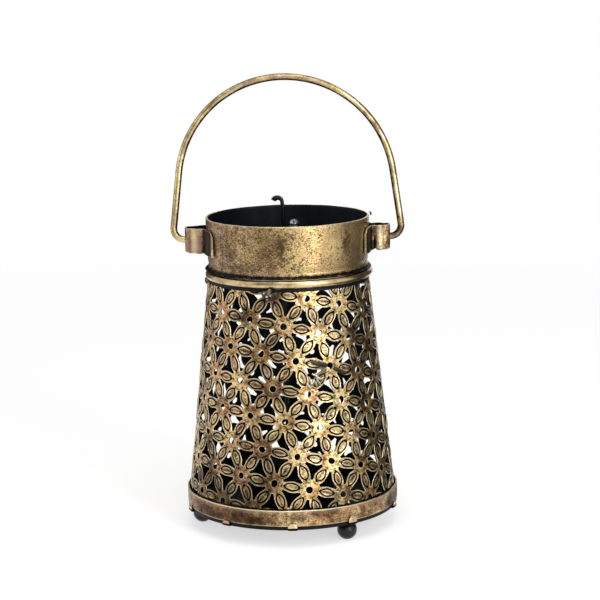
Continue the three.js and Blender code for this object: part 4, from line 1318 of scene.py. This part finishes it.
# %% Seam screw and nut
HEAD_RADIUS = 3.0
HEAD_HEIGHT = 2.2
SHANK_RADIUS = 1.3
NUT_FLATS = 5.5
NUT_CORNER = NUT_FLATS / 2 / math.cos(math.pi / 6)
NUT_CHAMFER = 0.25
BORE = 1.45
screw_low, screw_high = box_mm("seam_screw")
nut_low, nut_high = box_mm("seam_nut")
seam_height = (screw_low[2] + screw_high[2]) / 2
outward = at_turn(SEAM_TURN, 1.0, 0.0)
head_crown, shank_end, nut_in, nut_out = (
    float(corner[1] / -math.cos(SEAM_TURN)) for corner in (screw_low, screw_high, nut_low, nut_high))


def laid_out(piece):
    """Lays an upright turned part along the seam screw's radius, its crown towards the axis."""
    side = np.array([-outward[1], outward[0], 0.0])
    x, y, z = piece["points"].T[..., None]
    piece["points"] = -z * outward + x * side + y * np.array([0, 0, 1.0]) + (0, 0, seam_height)
    return piece


outline = screw_outline(HEAD_RADIUS, HEAD_HEIGHT, -head_crown, SHANK_RADIUS, -shank_end, 9)
bolt = laid_out(screw(outline, -head_crown, 0.4, 2.0, 0.5))
from_edge = np.abs(np.arange(len(bolt["points"])) % len(outline) - 8)
bolt["masks"]["worn"] = np.clip(1 - from_edge / 1.5, 0, 0.7)
settle(build("seam_bolt", [bolt], [screw_steel]), "body", "black_gloss", "seam_screw")

outline = [(BORE, -nut_in), (NUT_CORNER - NUT_CHAMFER, -nut_in), (NUT_CORNER, -nut_in - NUT_CHAMFER),
           (NUT_CORNER, -nut_out + NUT_CHAMFER), (NUT_CORNER - NUT_CHAMFER, -nut_out), (BORE, -nut_out)]
nut = build("seam_hex_nut", [laid_out(turned(outline, 6))], [inside_black], sharp_deg=20)
settle(nut, "body", "black_paint", "seam_nut")

# %% [markdown]
# ## Ears and handle
# Each ear is a strap bent into a loop, with its two ends lying on the collar. Half of its
# middle line is drawn in plan and mirrored, and a section with soft corners follows it. A
# boolean drills the hole, as on the real one, because a hole in the section would not be round.

# %% Ears
EAR_STRAP = 0.9
EAR_BEND = 3.0
CORNER_BEND = 1.3
CORNER_CUT = 2.3
SPLIT_FROM_TIP = 7.3
POLISHED_FROM_TIP = 5.0
WIRE_DIAMETER = 3.4
RUNNING_GAP = 0.35

# Each ear's side, its width at the root and near the tip, its bulge, its flanges' reach in
# degrees, the depth of its split, and the seed of its ragged edges
EARS = {
    "ear_left": (-1, 13.6, 9.0, 0.2, 27.5, 0.0, 6.5),
    "ear_right": (1, 9.0, 8.2, 0.9, 23, 0.55, 2.5),
}
pivot_height = frame["joints"][0]["pos_m"][2] / MM
ear_reach = box_mm("ear_right")[1][0]
collar_side = collar_radius(pivot_height)


def ear_path(reach, root, tip, bulge, flange_deg, flange_radius):
    """The middle line of half a strap in plan, from the end of its flange to the front of its loop."""
    leg = root / 2 - EAR_STRAP / 2
    corner_deg = math.degrees(math.asin(leg / flange_radius))
    flange = arc((0, 0), flange_radius, flange_deg, corner_deg + 2, 12)
    corner = np.array([flange_radius * math.cos(math.radians(corner_deg)), leg])
    bend_centre = np.array([reach - EAR_BEND, tip / 2 - EAR_BEND])
    leg_end = bend_centre + (0, EAR_BEND - EAR_STRAP / 2)
    leg_start = corner + (CORNER_BEND, 0)
    t = np.linspace(0, 1, 8)[1:, None]
    fillet = (1 - t) ** 2 * flange[-1] + 2 * t * (1 - t) * corner + t ** 2 * leg_start
    share = np.linspace(0, 1, 14)[1:-1, None]
    straight = leg_start + (leg_end - leg_start) * share + np.array([0, bulge]) * np.sin(share * math.pi)
    bend = arc(bend_centre, EAR_BEND - EAR_STRAP / 2, 90, 0, 9)
    front = np.linspace(bend[-1], (bend[-1][0], 0), 3)[1:]
    return np.concatenate([flange, fillet, straight, bend, front])


def ear(name, side, root, tip, bulge, flange_deg, split_depth, seed):
    """A strap bent into a loop, with ragged edges and, on the right one, a split in its front."""
    low, high = box_mm(name)
    reach = max(abs(low[0]), abs(high[0]))
    on_collar = collar_radius(high[2]) + SEAT_GAP + EAR_STRAP / 2
    half = ear_path(reach, root, tip, bulge, flange_deg, on_collar)
    path = np.concatenate([half, (half * (1, -1))[-2::-1]])
    along = unit(np.gradient(path, axis=0))
    outward = np.stack([-along[:, 1], along[:, 0]], -1)
    travelled = np.concatenate([[0], np.cumsum(np.linalg.norm(np.diff(path, axis=0), axis=1))])
    from_end = np.minimum(travelled, travelled[-1] - travelled)

    # What changes along the strap, as columns: its lower and upper edges, a split and its wear
    x = path[:, :1]
    number = np.arange(len(path))[:, None]
    split = split_depth * np.exp(-((reach - SPLIT_FROM_TIP - x) / 0.45) ** 2) * (path[:, 1:] < 0)
    polished = 0.55 * np.exp(-((reach - POLISHED_FROM_TIP - x) / 1.6) ** 2)
    on_flange = ramp(x, collar_side + CORNER_BEND + 1.5, collar_side + CORNER_BEND - 1.0)
    corner_drop = CORNER_CUT * ramp(from_end[:, None], CORNER_CUT, 0)
    tip_lift = 0.8 * ramp(x, reach - 3.2, reach) ** 2
    bottom = low[2] + 0.2 + 0.4 * bumpy(number * 0.21, seed, 3.0) + tip_lift + 1.1 * split
    top = high[2] - 0.25 + 0.15 * bumpy(number * 0.21, seed, 8.0) - corner_drop

    # The strap's section as (outward share, upward share, inset of the corner)
    section = [(-1, 0, 1), (-1, 0.5, 0), (-1, 1, -1), (-0.55, 1, 0), (0.55, 1, 0), (1, 1, -1), (1, 0.8, 0),
               (1, 0.6, 0), (1, 0.4, 0), (1, 0.2, 0), (1, 0, 1), (0.55, 0, 0), (-0.55, 0, 0)]
    across, share, inset = np.array(section).T
    outer = across == 1
    dent = 0.12 * bumpy(number * 0.16, seed + 4, share * 2) * (across > 0)
    spots = path[:, None] + outward[:, None] * (EAR_STRAP / 2 * across + dent)[..., None]
    heights = bottom * (1 - share) + top * share + 0.16 * inset
    points = np.concatenate([spots, heights[..., None]], -1) * (side, 1, 1)
    on_edge = (np.abs(across) < 1) * 0.85
    worn = np.maximum(np.maximum(polished, 0.45 * (share == 1)) * outer, on_edge)
    # Painted shade: the flanges, which lie in the shade of the loop, are darkened and more stained. The split
    # and the strap's inner face are darkened too.
    shade_and_hollow = 0.7 * on_flange + 2.0 * split * (share < 0.55)
    groove = np.minimum(1, 0.95 * (across == -1) + shade_and_hollow * outer)
    worn[[0, -1]] = 0.95
    groove[[0, -1]] = 0
    strap = part(points, ring_faces(len(path), len(section)), worn=worn, groove=groove,
                 stain=np.repeat(0.35 + 0.5 * on_flange, len(section)))
    return build(f"{name}_strap", [strap], [strap_brass])


def drilled(piece, x, height, radius):
    """Drills a hole along X through a piece."""
    drill = turned([(0, x - 3), (radius, x - 3), (radius, x + 3), (0, x + 3)], 32, closed=False)
    drill["points"] = drill["points"][:, [2, 1, 0]] + (0, 0, height)
    cutter = build("drill", [drill], [inside_black])
    cut = piece.modifiers.new("hole", "BOOLEAN")
    cut.operation = "DIFFERENCE"
    cut.solver = "EXACT"
    cut.object = cutter
    keep_result(piece, cut)
    bpy.data.objects.remove(cutter)


for name, shape in EARS.items():
    strap = ear(name, *shape)
    middle = shape[0] * (ear_reach - EAR_STRAP / 2)
    drilled(strap, middle, pivot_height, WIRE_DIAMETER / 2 + RUNNING_GAP)
    settle(strap, "body", "dark_brass", name)

# %% [markdown]
# The handle is one wire, whose ends turn in through the ears, and it swings on them. Straight
# legs and arcs that meet without a corner make its line, with a lean and a sway from bending.

# %% Handle
LEG_FLARE_DEG = 7.4
HANDLE_BEND = 5.3
END_INSIDE = 5.0
HANDLE_LEAN = 0.9
HANDLE_SWAY = 0.35
SWAY_FROM = 9
SKIN_INSET = 0.12
BEND_STAIN_ACROSS = 53.5
BEND_STAIN_UP = 1.5
BEND_STAIN_REACH = 4
WIRE_SIDES = 16
crown = box_mm("handle")[1][2] - WIRE_DIAMETER / 2


def handle_path():
    """The handle's centreline, from its end inside the right ear to the one inside the left."""
    flare = math.radians(LEG_FLARE_DEG)
    bend_height = pivot_height + HANDLE_BEND
    bottom = (ear_reach + HANDLE_BEND * math.cos(flare), bend_height + HANDLE_BEND * math.sin(flare))
    arch = (bottom[0] * math.cos(flare) - (crown - bottom[1]) * math.sin(flare)) / (1 - math.sin(flare))
    centre = crown - arch
    top = (arch * math.cos(flare), centre + arch * math.sin(flare))
    inner_end = ear_reach - EAR_STRAP - END_INSIDE
    half = np.concatenate([
        np.linspace((inner_end, pivot_height), (ear_reach, pivot_height), 7)[:-1],
        arc((ear_reach, bend_height), HANDLE_BEND, -90, LEG_FLARE_DEG, 14)[:-1],
        np.linspace(bottom, top, 16)[:-1],
        arc((0, centre), arch, LEG_FLARE_DEG, 90, 56),
    ])
    return np.concatenate([half, (half * (-1, 1))[-2::-1]])


line = handle_path()
number = np.arange(len(line))
above_ears = ramp(line[:, 1], pivot_height + SWAY_FROM, crown)
sway = HANDLE_SWAY * bumpy(number * 0.05, 3.3, 0.0) * (above_ears > 0)
path = np.stack([line[:, 0] - HANDLE_LEAN * above_ears, sway, line[:, 1]], -1)
ends = np.ones((len(path), 2))
ends[[0, -1]] = 0.8
handle_wire = swept(path, WIRE_DIAMETER - SKIN_INSET, WIRE_SIDES, widen=ends)

# Painted shading round the wire: a dark line on its inner side, a fainter one on its outer side, and a
# painted highlight between them
middle = np.array([0, 0, pivot_height + 0.35 * (crown - pivot_height)])
offset = handle_wire["points"].reshape(len(path), WIRE_SIDES, 3) - path[:, None]
facing = (offset * unit(middle - path)[:, None]).sum(-1) / (WIRE_DIAMETER / 2)
blotches = bumpy(number[:, None] * 0.22, 9.1, 0.0)
painted_inner_shade = np.clip((facing - 0.40 + 0.35 * blotches) * 2.2, 0, 1)
painted_outer_shade = np.clip((-facing - 0.66 + 0.3 * blotches[::-1]) * 2.2, 0, 1)
from_stain = path[:, [0, 2]] - (BEND_STAIN_ACROSS, pivot_height + BEND_STAIN_UP)
at_right_bend = np.exp(-((from_stain / BEND_STAIN_REACH) ** 2).sum(-1))
handle_wire["masks"] = {
    "stain": np.repeat(0.8 * at_right_bend, WIRE_SIDES),
    "groove": np.maximum(painted_inner_shade, 0.6 * painted_outer_shade).ravel(),
    "worn": np.clip((0.30 - np.abs(facing + 0.15) + 0.3 * blotches) * 2, 0, 0.8).ravel(),
}
settle(build("handle_wire", [handle_wire], [handle_brass]), "handle", "wire_brass", "handle")

# %% [markdown]
# ## Candle cup and lifting wire
# The cup is a plain black pan for the tealight, turned from one outline. Its wire stands at
# the back, and ends above the rim in a small crook that a fingertip catches. The end was
# hammered flat, so the swept wire gets wider and thinner along the crook.

# %% Cup and wire
CUP_LIP = 0.8
CUP_SHEET = 0.8
CUP_BEND = 0.8
LIP_RADIUS = 0.45
LIFT_DIAMETER = 2.0
CROOK_RADIUS = 2.2
CROOK_DEG = 158
STEM_STEPS = 40
cup_low, cup_high = box_mm("candle_cup")
cup_foot = cup_low[2]
cup_floor = cup_foot + CUP_SHEET
cup_wall = cup_high[0] - CUP_LIP
cup_outline = np.concatenate([
    [(0, cup_foot), (cup_wall - CUP_BEND, cup_foot)],
    arc((cup_wall - CUP_BEND, cup_foot + CUP_BEND), CUP_BEND, -75, 0, 5),
    [(cup_wall, cup_high[2] - CUP_LIP - 0.6)],
    arc((cup_wall - 0.1, cup_high[2] - LIP_RADIUS), LIP_RADIUS, -60, 180, 9),
    [(cup_wall - CUP_SHEET, cup_floor + 0.5), (cup_wall - CUP_SHEET - 0.5, cup_floor), (0, cup_floor)],
])
cup = build("cup_pan", [turned(cup_outline, 128, closed=False)], [inside_black])
settle(cup, "cup", "black_paint", "candle_cup")

wire_low, wire_high = box_mm("lifting_wire")
wire_x = wire_high[0] - LIFT_DIAMETER / 2
wire_y = (wire_low[1] + wire_high[1]) / 2
crook_height = wire_high[2] - LIFT_DIAMETER / 2 - CROOK_RADIUS
stem_height = np.linspace(wire_low[2], crook_height, STEM_STEPS)
lean = 0.5 * ramp(stem_height, rim_top - 6, rim_top + 4) ** 2
stem = np.stack([wire_x - lean, stem_height], -1)
crook = arc((wire_x - lean[-1] - CROOK_RADIUS, crook_height), CROOK_RADIUS, 0, CROOK_DEG, 24)[1:]
path = np.insert(np.concatenate([stem, crook]), 1, wire_y, axis=1)
flat = ramp(np.arange(len(path))[:, None], STEM_STEPS, len(path) - 1)
hammered = 0.95 + flat * (0.45, -0.25)
hammered[-1] *= (0.75, 0.7)
lifter = build("cup_hook", [swept(path, LIFT_DIAMETER, 14, widen=hammered)], [foot_black], sharp_deg=50)
settle(lifter, "cup", "black_paint", "lifting_wire")

# %% [markdown]
# ## The finished model
# The view transform is set to Standard, so colours show as they are written.

# %% View transform
bpy.context.scene.view_settings.view_transform = "Standard"
